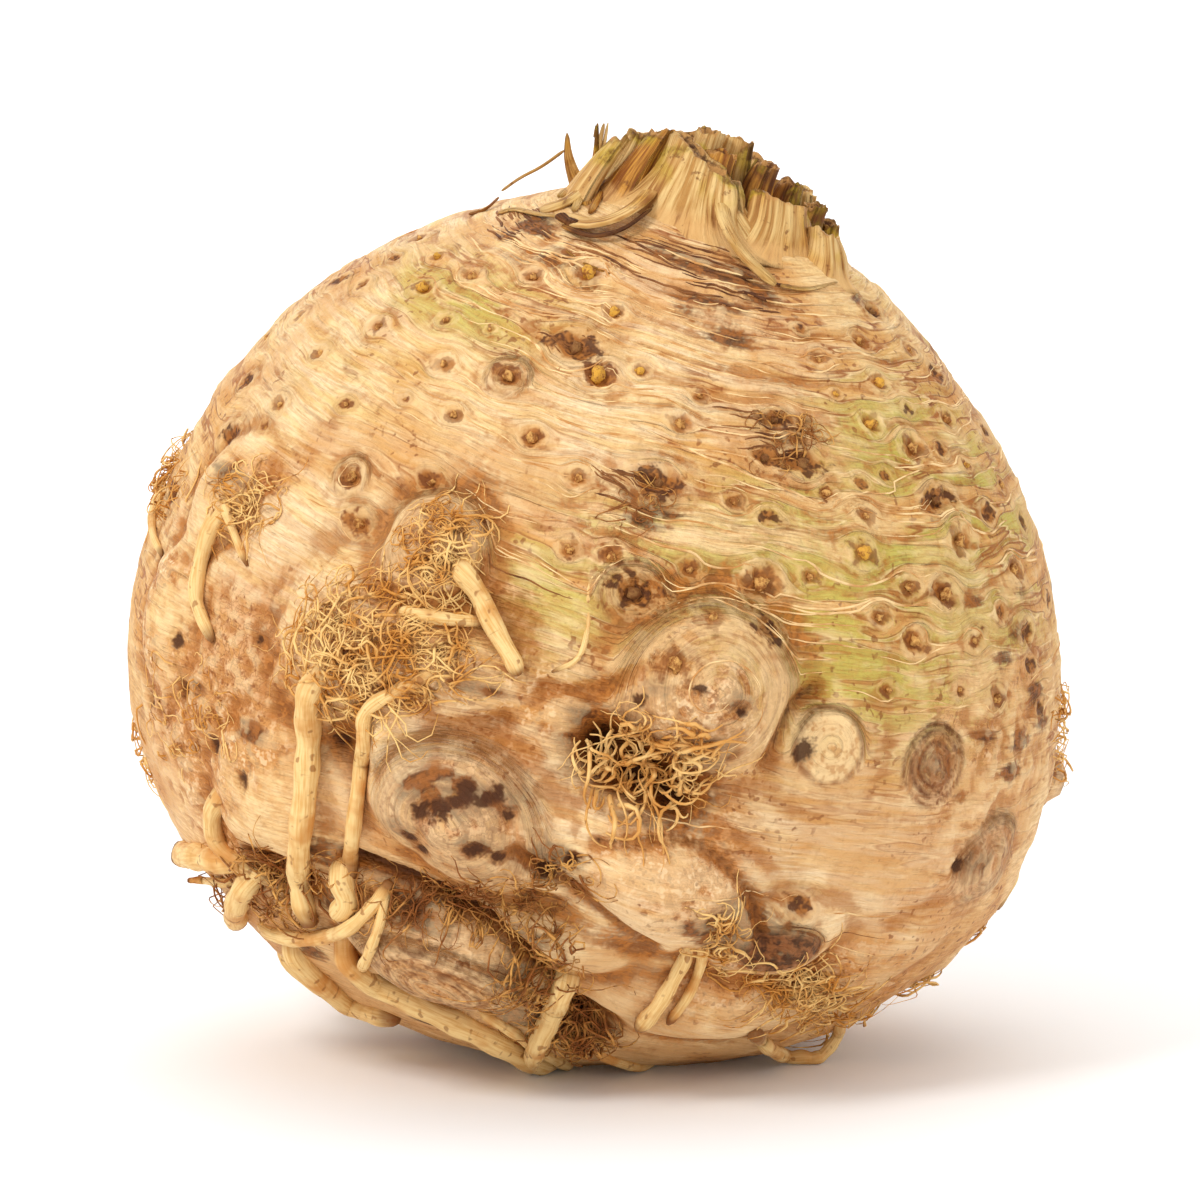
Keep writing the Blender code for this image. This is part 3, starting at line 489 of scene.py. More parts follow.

# %% [markdown]
# ## Patches of colour and texture
#
# The skin is cream and tan where it is clean, greenish where it met the light, rusty and corky where
# it is old or torn, and dark in scars. Each kind is a mask made of soft round patches, later broken up
# by noise in the shader. The front patches are listed one by one, and the back gets the same mix by a
# seeded rule.

# %% Patches
# Each patch: across, down, radius in pixels, strength
PATCHES = {
    "pale": [
        (330, 350, 120, 0.8), (600, 430, 120, 0.9), (700, 340, 90, 0.8), (640, 300, 60, 0.9),
        (780, 370, 70, 0.6), (260, 570, 60, 1.0), (340, 560, 50, 0.7), (300, 480, 60, 0.8),
        (770, 850, 90, 0.9), (900, 830, 90, 0.7), (400, 740, 55, 0.9), (540, 740, 50, 0.6),
        (600, 870, 60, 0.7), (350, 800, 35, 0.9), (655, 930, 50, 1.0), (560, 560, 50, 0.5),
        (700, 1010, 80, 0.6), (880, 740, 40, 0.5), (650, 240, 40, 0.9), (470, 220, 50, 0.6),
        (650, 275, 55, 1.0), (600, 258, 34, 1.0), (700, 330, 55, 0.9), (440, 950, 50, 0.7),
        (930, 890, 60, 0.9), (870, 930, 50, 0.7), (470, 735, 50, 0.8), (535, 650, 45, 0.7),
        (400, 800, 40, 0.7), (555, 800, 40, 0.6),
    ],
    "green": [
        (470, 305, 55, 0.9), (420, 265, 40, 0.5), (900, 440, 70, 1.0), (960, 500, 80, 1.0),
        (880, 560, 80, 0.9), (950, 620, 80, 0.9), (800, 670, 60, 0.6), (640, 560, 60, 0.6),
        (560, 580, 50, 0.7), (740, 560, 55, 0.7), (1010, 600, 60, 0.8), (860, 670, 60, 0.7),
        (1000, 520, 60, 0.8), (530, 630, 35, 0.6), (810, 500, 50, 0.5), (920, 700, 50, 0.5),
        (330, 380, 40, 0.35), (780, 620, 40, 0.7),
    ],
    "rust": [
        (170, 560, 55, 0.9), (150, 650, 55, 0.8), (190, 720, 60, 0.7), (240, 760, 60, 0.7),
        (200, 810, 50, 0.7), (330, 590, 55, 0.8), (235, 480, 45, 0.9), (300, 870, 60, 0.9),
        (560, 855, 45, 0.9), (620, 770, 60, 1.0), (560, 760, 40, 0.4), (690, 800, 45, 0.8),
        (570, 1015, 60, 1.0), (790, 965, 70, 0.9), (850, 1000, 60, 0.8), (965, 830, 45, 0.6),
        (1045, 770, 50, 0.7), (420, 660, 70, 0.7), (480, 620, 34, 0.4), (500, 930, 50, 0.35),
        (370, 950, 40, 0.3), (450, 1000, 50, 0.3), (720, 900, 40, 0.7), (660, 840, 40, 0.6),
        (540, 690, 30, 0.5), (960, 950, 50, 0.6), (1010, 745, 48, 0.9), (706, 712, 44, 0.8),
        (600, 235, 30, 0.8), (280, 640, 40, 0.7), (700, 975, 40, 0.6), (440, 880, 40, 0.5),
    ],
    "brown": [
        (537, 225, 20, 1.0), (561, 260, 17, 1.0), (665, 252, 12, 1.0), (690, 266, 12, 0.8),
        (715, 274, 13, 1.0), (740, 278, 12, 1.0), (760, 296, 20, 1.0), (735, 310, 14, 0.7),
        (680, 313, 12, 0.7), (731, 340, 20, 0.9), (700, 300, 16, 0.7), (576, 346, 18, 0.9),
        (780, 425, 22, 0.7), (800, 460, 14, 0.8), (655, 487, 20, 0.9), (646, 517, 20, 0.9),
        (235, 437, 14, 1.0), (228, 470, 20, 0.8), (935, 765, 26, 0.7), (769, 940, 32, 1.0),
        (462, 796, 20, 0.9), (480, 850, 15, 0.9), (975, 862, 20, 0.7), (545, 865, 22, 0.9),
        (640, 765, 42, 1.0), (575, 1022, 30, 1.0), (170, 492, 14, 1.0), (590, 745, 20, 0.8),
        (740, 905, 20, 0.8), (350, 740, 16, 0.6), (500, 240, 16, 0.6), (520, 262, 14, 0.6),
        (590, 285, 14, 0.8), (420, 905, 22, 0.8), (520, 960, 22, 0.8), (490, 632, 12, 0.5),
        (790, 440, 16, 0.6), (600, 480, 16, 0.4), (632, 592, 18, 0.5), (282, 870, 20, 0.8),
        (330, 850, 20, 1.0), (335, 905, 22, 1.0), (262, 850, 18, 0.9), (400, 880, 18, 0.8),
        (470, 905, 18, 0.8), (525, 938, 18, 1.0), (372, 992, 18, 1.0), (430, 1022, 16, 1.0),
        (505, 1016, 20, 1.0), (560, 1000, 26, 1.0), (662, 688, 12, 0.8), (692, 658, 14, 0.7),
        (742, 702, 12, 0.8), (722, 748, 14, 0.7), (700, 766, 14, 0.8), (310, 950, 18, 1.0),
        (600, 720, 22, 1.0), (672, 800, 24, 1.0), (700, 930, 18, 0.8), (735, 950, 22, 1.0),
        (800, 975, 22, 0.9), (830, 1000, 18, 0.8), (250, 730, 18, 0.8), (200, 690, 14, 0.7),
        (480, 690, 18, 0.7), (420, 790, 20, 0.8), (505, 800, 16, 0.8), (555, 855, 16, 0.9),
        (400, 830, 16, 0.8), (1000, 700, 18, 0.9), (1020, 742, 16, 0.9), (984, 735, 14, 0.8),
        (1036, 690, 14, 0.9), (1010, 775, 13, 0.9), (1042, 722, 14, 0.9), (962, 795, 12, 0.7),
        (1000, 660, 14, 0.8), (1015, 630, 14, 0.8), (972, 598, 13, 0.7), (940, 590, 16, 0.8),
        (905, 560, 10, 0.5), (930, 505, 16, 0.7), (1020, 590, 12, 0.8), (860, 300, 14, 0.8),
    ],
    "cork": [
        (719, 690, 48, 1.0), (462, 815, 52, 1.0), (985, 862, 42, 1.0), (633, 592, 24, 0.8),
        (240, 650, 80, 0.8), (165, 740, 60, 0.8), (215, 840, 50, 0.8), (650, 500, 55, 0.5),
        (520, 255, 55, 0.7), (720, 300, 60, 0.7), (935, 765, 34, 0.8), (800, 440, 45, 0.6),
        (440, 545, 36, 0.7), (180, 520, 50, 0.9), (965, 700, 60, 0.5), (1000, 780, 60, 0.5),
        (700, 870, 40, 0.5), (690, 940, 50, 0.5), (1030, 640, 50, 0.5), (580, 520, 40, 0.4),
    ],
    "calm": [
        (320, 400, 150, 0.6), (270, 570, 110, 0.8), (460, 440, 90, 0.5), (800, 860, 130, 0.9),
        (560, 730, 60, 0.7), (600, 850, 90, 0.8), (400, 750, 60, 0.9), (545, 620, 60, 0.6),
        (850, 670, 60, 0.4), (700, 1010, 90, 0.8), (230, 740, 120, 0.8), (960, 920, 90, 0.7),
        (660, 930, 60, 0.8), (440, 960, 60, 0.4), (900, 720, 60, 0.4),
    ],
    # Unshaded patches: where the painted shade of the large hollows is held off
    "unshaded": [
        (850, 800, 90, 1.0), (830, 745, 70, 1.0), (935, 765, 60, 1.0), (790, 700, 45, 0.7),
        (880, 865, 90, 1.0), (960, 905, 70, 0.8), (600, 850, 40, 0.6), (400, 760, 42, 0.8),
        (310, 560, 60, 0.7), (320, 400, 150, 0.5), (350, 800, 32, 0.9), (545, 745, 46, 0.7),
        (540, 560, 60, 0.6), (990, 850, 60, 0.7), (700, 1015, 60, 0.7), (640, 275, 45, 0.8),
        (700, 325, 50, 0.6), (940, 860, 80, 1.0), (455, 950, 60, 0.9), (455, 735, 60, 1.0),
        (535, 640, 55, 1.0), (560, 600, 40, 0.8), (560, 800, 40, 0.8), (390, 800, 36, 0.9),
    ],
}
# How much longer each kind of patch is along the grain than across it
PATCH_STRETCH = {
    "pale": 1.3, "green": 1.5, "rust": 1.2, "brown": 1.7, "cork": 1.0, "calm": 1.2, "unshaded": 1.2,
}
BACK_PATCH_SEED = 59
BACK_PATCH_SPREAD = 95
# Cork, rust and a brown spot on each swelling of the back, in shares of its length
SWELLING_SHARES = {"cork": 0.7, "rust": 0.5, "brown": 0.28}
BACK_PATCHES = {"pale": 16, "green": 8, "rust": 22, "brown": 30, "cork": 16, "calm": 6, "unshaded": 10}
BACK_PATCH_RADII_MM = {
    "pale": (9, 16), "green": (7, 12), "rust": (5, 10), "brown": (1.8, 3.6),
    "cork": (4, 9), "calm": (9, 16), "unshaded": (8, 14),
}
BACK_PATCH_LATITUDES = {
    "pale": (-20, 75), "green": (10, 60), "rust": (-75, 0), "brown": (-60, 80),
    "cork": (-70, 60), "calm": (-50, 50), "unshaded": (-50, 40),
}


def patch_list(kind):
    """Directions, radii in metres and strengths of one kind of patch, front and back."""
    rows = PATCHES[kind]
    places = directions_on_body([row[:2] for row in rows])
    found = [(middle, row[2] * PIXEL, row[3]) for middle, row in zip(places, rows)]
    draw = random.Random(BACK_PATCH_SEED + len(rows))
    low, high = BACK_PATCH_LATITUDES[kind]
    for _ in range(BACK_PATCHES[kind]):
        azimuth = math.radians(draw.uniform(-BACK_PATCH_SPREAD, BACK_PATCH_SPREAD))
        latitude = math.radians(draw.uniform(low, high))
        radius = draw.uniform(*BACK_PATCH_RADII_MM[kind]) * MM
        found.append((direction_at(azimuth, latitude), radius, draw.uniform(0.5, 1.0)))
    share = SWELLING_SHARES.get(kind, 0.0)
    found += [(row[0], share * row[3], 0.9) for row in back_swellings() if share]
    return found


def patch_mask(kind, directions):
    """From 0 to 1: how far each direction lies in patches of that kind."""
    clear = np.ones(len(directions))
    squeeze = 1 - 1 / PATCH_STRETCH[kind] ** 2
    for middle, radius, strength in PATCH_LISTS[kind]:
        offset = directions - middle
        along = offset @ unit(np.cross(CROWN_AXIS, middle))
        square = ((offset**2).sum(axis=1) - squeeze * along**2) * DEPTH_RADIUS**2
        clear *= 1 - strength * np.exp(-square / radius**2)
    return 1 - clear


PATCH_LISTS = {kind: patch_list(kind) for kind in PATCHES}
print({kind: len(found) for kind, found in PATCH_LISTS.items()})

# %% [markdown]
# ## The skin's mesh
#
# A cube whose faces are cut into even cells and rounded to a ball has no poles, unlike a UV sphere.
# The front gets a second cut, so that wrinkles and dimples there are real geometry. Every point then
# moves out to the body's radius plus a fine relief.

# %% Relief
WRINKLE_MM = 0.30
UNEVEN_MM = 0.45
ROUGH_MM = 0.55
# Pits in the cork, with painted shade at their bottoms: across, down, radius in pixels, depth mm
PITS = [
    (602, 744, 24, 2.6), (640, 772, 26, 2.8), (672, 796, 18, 2.2), (575, 1022, 22, 2.4),
    (548, 1000, 14, 1.4), (466, 794, 12, 1.0), (440, 812, 13, 0.9), (498, 794, 9, 0.7),
    (474, 852, 11, 1.0), (410, 838, 8, 0.7), (422, 850, 7, 0.6), (496, 858, 8, 0.6),
    (874, 309, 8, 1.4), (170, 492, 10, 1.2), (160, 560, 7, 1.0), (420, 812, 9, 0.6),
    (484, 800, 8, 0.5), (510, 816, 8, 0.5), (455, 800, 8, 0.5), (182, 690, 9, 1.2),
    (150, 700, 7, 0.9), (215, 745, 9, 1.0), (340, 740, 9, 1.4), (258, 640, 6, 0.6),
    (175, 640, 8, 0.9), (198, 600, 6, 0.7), (550, 870, 14, 1.2), (572, 862, 8, 1.0),
    (803, 752, 13, 0.3), (960, 866, 9, 1.0), (640, 700, 8, 0.8), (700, 690, 6, 0.5),
    (742, 712, 6, 0.5), (240, 780, 10, 0.9),
]


def noise_at(points, scale, octaves=2):
    """Smooth noise about 0 at each row of points, after scaling the three coordinates."""
    scaled = points * np.array(scale)
    return np.array([noise.fractal(Vector(row), 1.0, 2.0, octaves) for row in scaled.tolist()])


EYE_STRETCH = {PLAIN: 1.25, YELLOW: 1.2, DARK: 1.3, TORN: 1.8}


def eye_reach(directions):
    """Distance to the nearest eye in eye radii, shorter along the grain, with the index of that eye."""
    reach = np.full(len(directions), 9.0)
    nearest = np.zeros(len(directions), int)
    for i, (middle, radius, kind) in enumerate(EYES):
        offset = directions - middle
        along = offset @ unit(np.cross(CROWN_AXIS, middle))
        squeeze = 1 - 1 / EYE_STRETCH[kind] ** 2
        square = np.maximum((offset**2).sum(axis=1) - squeeze * along**2, 0)
        found = np.sqrt(square) * DEPTH_RADIUS / radius
        closer = found < reach
        reach[closer] = found[closer]
        nearest[closer] = i
    return reach, nearest


def bell(value, middle, width):
    return np.exp(-(((value - middle) / width) ** 2))


PIT_PLACES = directions_on_body([row[:2] for row in PITS])


def line_share(directions, masks):
    """How strongly the grain shows: most on the upper half, least on the calm patches."""
    return (0.35 + 0.65 * smoothstep(directions @ CROWN_AXIS, -0.45, 0.1)) * (1 - 0.75 * masks["calm"])


def relief(directions, flow, masks):
    """The fine relief of the skin, in metres."""
    points = directions * plain_radius(directions)[:, None] / MM
    lined = line_share(directions, masks)
    wrinkles = noise_at(flow / MM, (0.05, 0.05, 0.42)) * lined
    fine = noise_at(flow / MM, (0.11, 0.11, 1.05), 1) * lined
    uneven = noise_at(points, (0.11, 0.11, 0.11), 2)
    rough = noise_at(points, (0.42, 0.42, 0.42), 2)
    height = WRINKLE_MM * wrinkles + 0.5 * WRINKLE_MM * fine + UNEVEN_MM * uneven
    height += ROUGH_MM * rough * np.clip(masks["cork"] + 0.6 * masks["rust"], 0, 1)
    reach, nearest = eye_reach(directions)
    size = np.array([radius / MM for _, radius, _ in EYES])[nearest]
    bent = reach + 0.8 * noise_at(points, (0.45, 0.45, 0.45), 2)
    height += size * (0.16 * bell(bent, 1.2, 0.45) - 0.38 * bell(bent, 0.0, 0.8)
                      - 0.06 * bell(bent, 2.0, 0.45))
    for place, (_, _, radius, depth) in zip(PIT_PLACES, PITS):
        square = ((directions - place) ** 2).sum(axis=1) * (DEPTH_RADIUS / PIXEL / radius) ** 2
        height -= depth * np.exp(-square)
    for (ring_place, along, across, length, width, _), row in zip(RINGS, RINGED):
        oval = oval_reach(points * MM, ring_place, along, across, length, width)
        oval = oval + 0.05 * noise_at(points, (0.3,) * 3, 1)
        edge = 0.4 * bell(oval, 0.90, 0.10) - 0.35 * bell(oval, 1.06, 0.07)
        height += row[5] * (edge + 0.16 * np.cos(oval * 24) * (oval < 0.85))
    for line, width, depth in FURROW_LINES:
        nearest = line_distance(directions, line)
        height -= 0.45 * depth / MM * np.exp(-((nearest * DEPTH_RADIUS / (0.5 * width)) ** 2))
    return height * MM


print(len(PITS), "pits")

# %% Make the skin
SKIN_CELLS = 78
FRONT_FACING = 0.12


def ball_of_cells(cells):
    shape = bmesh.new()
    bmesh.ops.create_cube(shape, size=2.0)
    bmesh.ops.subdivide_edges(shape, edges=shape.edges[:], cuts=cells - 1, use_grid_fill=True)
    for vertex in shape.verts:
        vertex.co = Vector([math.tan(side * math.pi / 4) for side in vertex.co]).normalized()
    return shape


def cut_front_again(shape):
    """Cuts the cells that face the viewer into four."""
    front = [face for face in shape.faces if face.calc_center_median().y < -FRONT_FACING]
    edges = list({edge for face in front for edge in face.edges})
    bmesh.ops.subdivide_edges(shape, edges=edges, cuts=1, use_grid_fill=True)
    for vertex in shape.verts:
        vertex.co.normalize()


def link_piece(name, mesh):
    """An object of a mesh, shaded smooth and linked to the scene."""
    mesh.shade_smooth()
    piece = bpy.data.objects.new(name, mesh)
    bpy.context.scene.collection.objects.link(piece)
    return piece


def new_piece(name, shape):
    """A smooth object from a bmesh, which is freed."""
    mesh = bpy.data.meshes.new(name)
    shape.to_mesh(mesh)
    shape.free()
    return link_piece(name, mesh)


def triangle_count(mesh):
    return sum(len(face.vertices) - 2 for face in mesh.polygons)


def store(mesh, name, values):
    """Writes one number, or a row of three, for each point as an attribute that a shader can read."""
    values = np.asarray(values, np.float32)
    kind, field = ("FLOAT", "value") if values.ndim == 1 else ("FLOAT_VECTOR", "vector")
    mesh.attributes.new(name, kind, "POINT").data.foreach_set(field, values.ravel())


skin_shape = ball_of_cells(SKIN_CELLS)
cut_front_again(skin_shape)
skin = new_piece("skin", skin_shape)
skin_directions = np.zeros(len(skin.data.vertices) * 3)
skin.data.vertices.foreach_get("co", skin_directions)
skin_directions = unit(skin_directions.reshape(-1, 3))
skin_flow = flow_coordinates(skin_directions)
skin_masks = {kind: patch_mask(kind, skin_directions) for kind in PATCHES}
plain_form = body_radius(skin_directions)
skin_height = relief(skin_directions, skin_flow, skin_masks)
skin_points = CENTRE + skin_directions * (plain_form + skin_height)[:, None]
skin_points[:, 2] = np.maximum(skin_points[:, 2], 0.0)
skin.data.vertices.foreach_set("co", skin_points.ravel())
skin.data.update()
print("skin:", triangle_count(skin.data), "triangles")

# %% [markdown]
# ## What the shader will read
#
# The shader paints shade into the skin's hollows and a painted highlight onto its small crests. The
# mesh can tell where they are: each point's height is compared with the smoothed height of its
# surroundings, at two scales. Slow changes of colour are also worked out once for each point here,
# which keeps the shader quick.

# %% Hollows
# Rounds of smoothing, and the depth below the smoothed form that counts as a full hollow
SMALL_ROUNDS = 8
LARGE_ROUNDS = 70
SMALL_HOLLOW_MM = 0.16
LARGE_HOLLOW_MM = 0.85


def smoothed(values, edges, rounds):
    """Each round gives every point the mean of its neighbours."""
    first, second = edges[:, 0], edges[:, 1]
    count = len(values)
    links = np.bincount(first, minlength=count) + np.bincount(second, minlength=count)
    for _ in range(rounds):
        total = np.bincount(first, values[second], count) + np.bincount(second, values[first], count)
        values = total / links
    return values


skin_edges = np.zeros(len(skin.data.edges) * 2, int)
skin.data.edges.foreach_get("vertices", skin_edges)
skin_edges = skin_edges.reshape(-1, 2)
heights = plain_form + skin_height
smooth_small = smoothed(heights, skin_edges, SMALL_ROUNDS)
smooth_large = smoothed(smooth_small, skin_edges, LARGE_ROUNDS)
hollow_small = np.clip((smooth_small - heights) / (SMALL_HOLLOW_MM * MM), -1, 1)
hollow_large = np.clip((smooth_large - heights) / (LARGE_HOLLOW_MM * MM), -1, 1)
print("hollows found:", int((hollow_large > 0.5).sum()), "points")

# %% Masks for the skin's shader
# The seeded back gets more unshaded skin and lighter painted shade in its hollows and creases, so
# that its swellings don't look ringed
BACK_UNSHADED = 0.65
BACK_SHADE_SOFTER = 0.6
BLOTCH_GRAIN = (0.075, 0.075, 0.075)
FILM_GRAIN = (0.04, 0.04, 0.055)
skin_round = skin_directions * plain_radius(skin_directions)[:, None] / MM
turned_away = smoothstep(skin_directions[:, 1], 0.0, 0.3)
skin_masks["unshaded"] = np.maximum(skin_masks["unshaded"], BACK_UNSHADED * turned_away)
for kind in ("pale", "green", "rust", "brown", "cork", "unshaded"):
    store(skin.data, kind, skin_masks[kind])
store(skin.data, "flow", skin_flow / MM)
store(skin.data, "lined", line_share(skin_directions, skin_masks))
store(skin.data, "low", smoothstep(-skin_directions[:, 2], -0.02, 0.45))
store(skin.data, "hollow_small", hollow_small)
store(skin.data, "hollow_large", hollow_large * (1 - BACK_SHADE_SOFTER * turned_away))
store(skin.data, "blotch", 0.5 + 0.5 * noise_at(skin_round, BLOTCH_GRAIN, 5))
store(skin.data, "film", 0.5 + 0.5 * noise_at(skin_round + 50, FILM_GRAIN, 5))
print("masks for the shader:", len(skin.data.attributes), "attributes")

# %% [markdown]
# ## Eyes, round marks and gaps, as masks
#
# An eye is stored as a distance: the shader draws its dark ring, its lip and its halo at fixed
# distances. The masks of the round marks say how pale, how ringed and how dark they are. A gap is the
# bottom of a furrow, which the shader paints dark as painted shade, and so are the creases and pits.

# %% Masks of the eyes
EYE_TONE_SEED = 8
skin_reach, skin_nearest = eye_reach(skin_directions)
uneven_eye = skin_reach + noise_at(skin_round, (0.6,) * 3, 3)
store(skin.data, "eye", uneven_eye)
eye_kinds = np.array([kind for _, _, kind in EYES])
eye_draw = np.random.default_rng(EYE_TONE_SEED)
eye_tones = np.clip(eye_draw.uniform(0.25, 1.0, len(EYES)) + 0.4 * (eye_kinds >= DARK), 0, 1)
store(skin.data, "eye_tone", eye_tones[skin_nearest])
store(skin.data, "eye_dark", (eye_kinds[skin_nearest] >= DARK).astype(float))
print("eyes:", len(EYES), "of which", int((eye_kinds >= DARK).sum()), "are dark or torn")

# %% Masks of the round marks
# How fast the rings wave from a mark's middle outwards, in radians to the millimetre
RING_WAVES = 4.6
ringed, mark_pale, mark_rings, mark_dark = np.zeros((4, len(skin_directions)))
ring_noise = noise_at(skin_round, (0.25,) * 3, 2)
for (place, along, across, length, width, _), row in zip(RINGS, RINGED):
    oval = oval_reach(skin_round * MM, place, along, across, length, width) + 0.10 * ring_noise
    inside = 1 - smoothstep(oval, 0.9, 1.06)
    ringed = np.maximum(ringed, 1 - smoothstep(oval, 0.95, 1.4))
    mark_pale = np.maximum(mark_pale, row[6] * inside)
    waves = 0.5 + 0.5 * np.cos(oval * length / MM * RING_WAVES)
    rings = row[7] * waves * smoothstep(oval, 0.12, 0.4) * (1 - smoothstep(oval, 1.1, 1.3))
    mark_rings = np.maximum(mark_rings, np.maximum(rings, 0.9 * row[6] * bell(oval, 1.04, 0.08)))
    mark_dark = np.maximum(mark_dark, row[8] * inside * smoothstep(oval, -0.2, 0.35))
store(skin.data, "ringed", ringed)
store(skin.data, "mark_pale", mark_pale)
store(skin.data, "mark_rings", mark_rings)
store(skin.data, "mark_dark", mark_dark)
print("points in round marks:", int((ringed > 0.5).sum()))

# %% Masks of the furrows, hollows and pits
# A place this far below the plain ball counts as deep, in mm
DEEP_MM = 1.6
# Painted shade at the bottom of each furrow
furrow_shade = np.zeros(len(skin_directions))
for (line, width, _), shade_strength in zip(FURROW_LINES, FURROW_SHADE_STRENGTHS):
    nearest = line_distance(skin_directions, line)
    furrow_shade = np.maximum(furrow_shade, shade_strength * np.exp(-((nearest * DEPTH_RADIUS / (0.6 * width)) ** 2)))
store(skin.data, "furrow_shade", furrow_shade)
# Painted shade in creases: how far each point lies below the plain ball
crease_shade = np.clip((plain_radius(skin_directions) - plain_form) / (DEEP_MM * MM), 0, 1)
# Painted shade in the pits of the cork
pit_depth = np.zeros(len(skin_directions))
for place, (_, _, radius, _) in zip(PIT_PLACES, PITS):
    square = ((skin_directions - place) ** 2).sum(axis=1) * (DEPTH_RADIUS / PIXEL / radius) ** 2
    pit_depth = np.maximum(pit_depth, np.exp(-square))
store(skin.data, "crease_shade", crease_shade * (1 - BACK_SHADE_SOFTER * turned_away))
store(skin.data, "pit_shade", pit_depth)
print("attributes:", len(skin.data.attributes))

# %% [markdown]
# ## Materials by nodes
#
# A small helper class keeps node trees readable: each method adds a node or two and returns the
# output, so a shader reads as nested words. Colours are given in sRGB, as a paint card would give
# them, and made linear.


# %% Node helpers
def srgb(red, green, blue):
    """A linear colour from 0 to 255 sRGB values."""
    channels = [value / 255 for value in (red, green, blue)]
    return (*[c / 12.92 if c <= 0.04045 else ((c + 0.055) / 1.055) ** 2.4 for c in channels], 1.0)


# Colours raised to a power above 1 gain depth, as dry plant skin has in soft light.
RICHNESS = 1.17


class Shader:
    """A material's node tree, with a method for each node or sum that this root needs."""

    def __init__(self, name, roughness):
        self.material = bpy.data.materials.new(name)
        self.material.use_nodes = True
        self.tree = self.material.node_tree
        self.surface = self.tree.nodes["Principled BSDF"]
        self.surface.inputs["Roughness"].default_value = roughness
        self.surface.inputs["Specular IOR Level"].default_value = 0.22

    def put(self, value, socket):
        if isinstance(value, bpy.types.NodeSocket):
            self.tree.links.new(value, socket)
        else:
            socket.default_value = value

    def attribute(self, name, output="Fac"):
        node = self.tree.nodes.new("ShaderNodeAttribute")
        node.attribute_name = name
        return node.outputs[output]

    def place(self):
        return self.tree.nodes.new("ShaderNodeTexCoord").outputs["Object"]

    def stretch(self, vector, scale, shift=(0, 0, 0)):
        node = self.tree.nodes.new("ShaderNodeMapping")
        self.put(vector, node.inputs["Vector"])
        node.inputs["Scale"].default_value = scale
        node.inputs["Location"].default_value = shift
        return node.outputs["Vector"]

    def noise(self, vector, scale, detail, roughness):
        node = self.tree.nodes.new("ShaderNodeTexNoise")
        self.put(vector, node.inputs["Vector"])
        numbers = {"Scale": scale, "Detail": detail, "Roughness": roughness}
        for name, value in numbers.items():
            node.inputs[name].default_value = value
        return node.outputs["Fac"]

    def math(self, operation, first, second=0.0, clamp=False):
        node = self.tree.nodes.new("ShaderNodeMath")
        node.operation = operation
        node.use_clamp = clamp
        self.put(first, node.inputs[0])
        self.put(second, node.inputs[1])
        return node.outputs[0]

    def times(self, first, second):
        return self.math("MULTIPLY", first, second)

    def plus(self, first, second):
        return self.math("ADD", first, second)

    def ragged(self, value, grain, amount):
        """The value pushed up and down by noise, so that an edge made from it turns ragged."""
        return self.plus(value, self.times(self.math("SUBTRACT", grain, 0.5), amount))

    def between(self, value, low, high, start=0.0, end=1.0):
        """The value's place from low to high, as a smooth share from start to end."""
        node = self.tree.nodes.new("ShaderNodeMapRange")
        node.interpolation_type = "SMOOTHSTEP"
        for slot, number in zip(("From Min", "From Max", "To Min", "To Max"), (low, high, start, end)):
            node.inputs[slot].default_value = number
        self.put(value, node.inputs["Value"])
        return node.outputs["Result"]

    def mix(self, share, first, second):
        node = self.tree.nodes.new("ShaderNodeMix")
        node.data_type = "RGBA"
        self.put(share, node.inputs[0])
        self.put(first, node.inputs[6])
        self.put(second, node.inputs[7])
        return node.outputs[2]

    def ridges(self, value, sharpness):
        """Thin bright lines where the noise crosses its middle."""
        apart = self.math("ABSOLUTE", self.math("SUBTRACT", value, 0.5))
        return self.math("SUBTRACT", 1.0, self.times(apart, sharpness), clamp=True)

    def finish(self, colour, height, depth_mm):
        """Joins the richer colour and the bump to the surface."""
        rich = self.tree.nodes.new("ShaderNodeGamma")
        rich.inputs["Gamma"].default_value = RICHNESS
        self.put(colour, rich.inputs["Color"])
        self.put(rich.outputs["Color"], self.surface.inputs["Base Color"])
        bump = self.tree.nodes.new("ShaderNodeBump")
        bump.inputs["Strength"].default_value = 1.0
        bump.inputs["Distance"].default_value = depth_mm * MM
        self.put(height, bump.inputs["Height"])
        self.put(bump.outputs["Normal"], self.surface.inputs["Normal"])
        return self.material


CREAM = srgb(238, 204, 148)
TAN = srgb(222, 175, 110)
WHITE = srgb(250, 229, 194)
GREEN = srgb(200, 188, 98)
RUST = srgb(206, 140, 70)
BROWN = srgb(152, 94, 42)
DARK_BROWN = srgb(92, 52, 20)
CORK = srgb(224, 178, 134)
print("cream, linear:", [round(c, 3) for c in CREAM[:3]])

# %% [markdown]
# ## The skin's material
#
# Long streaks come from noise that is stretched along the flow: little scale along a line and much
# across it. Where such noise crosses its middle value it draws thin strands. The masks choose between
# the colours, and each is multiplied by noise first, so that no patch has a clean edge. The colour is
# built in layers, a function for each, from the clean skin up to the eyes.


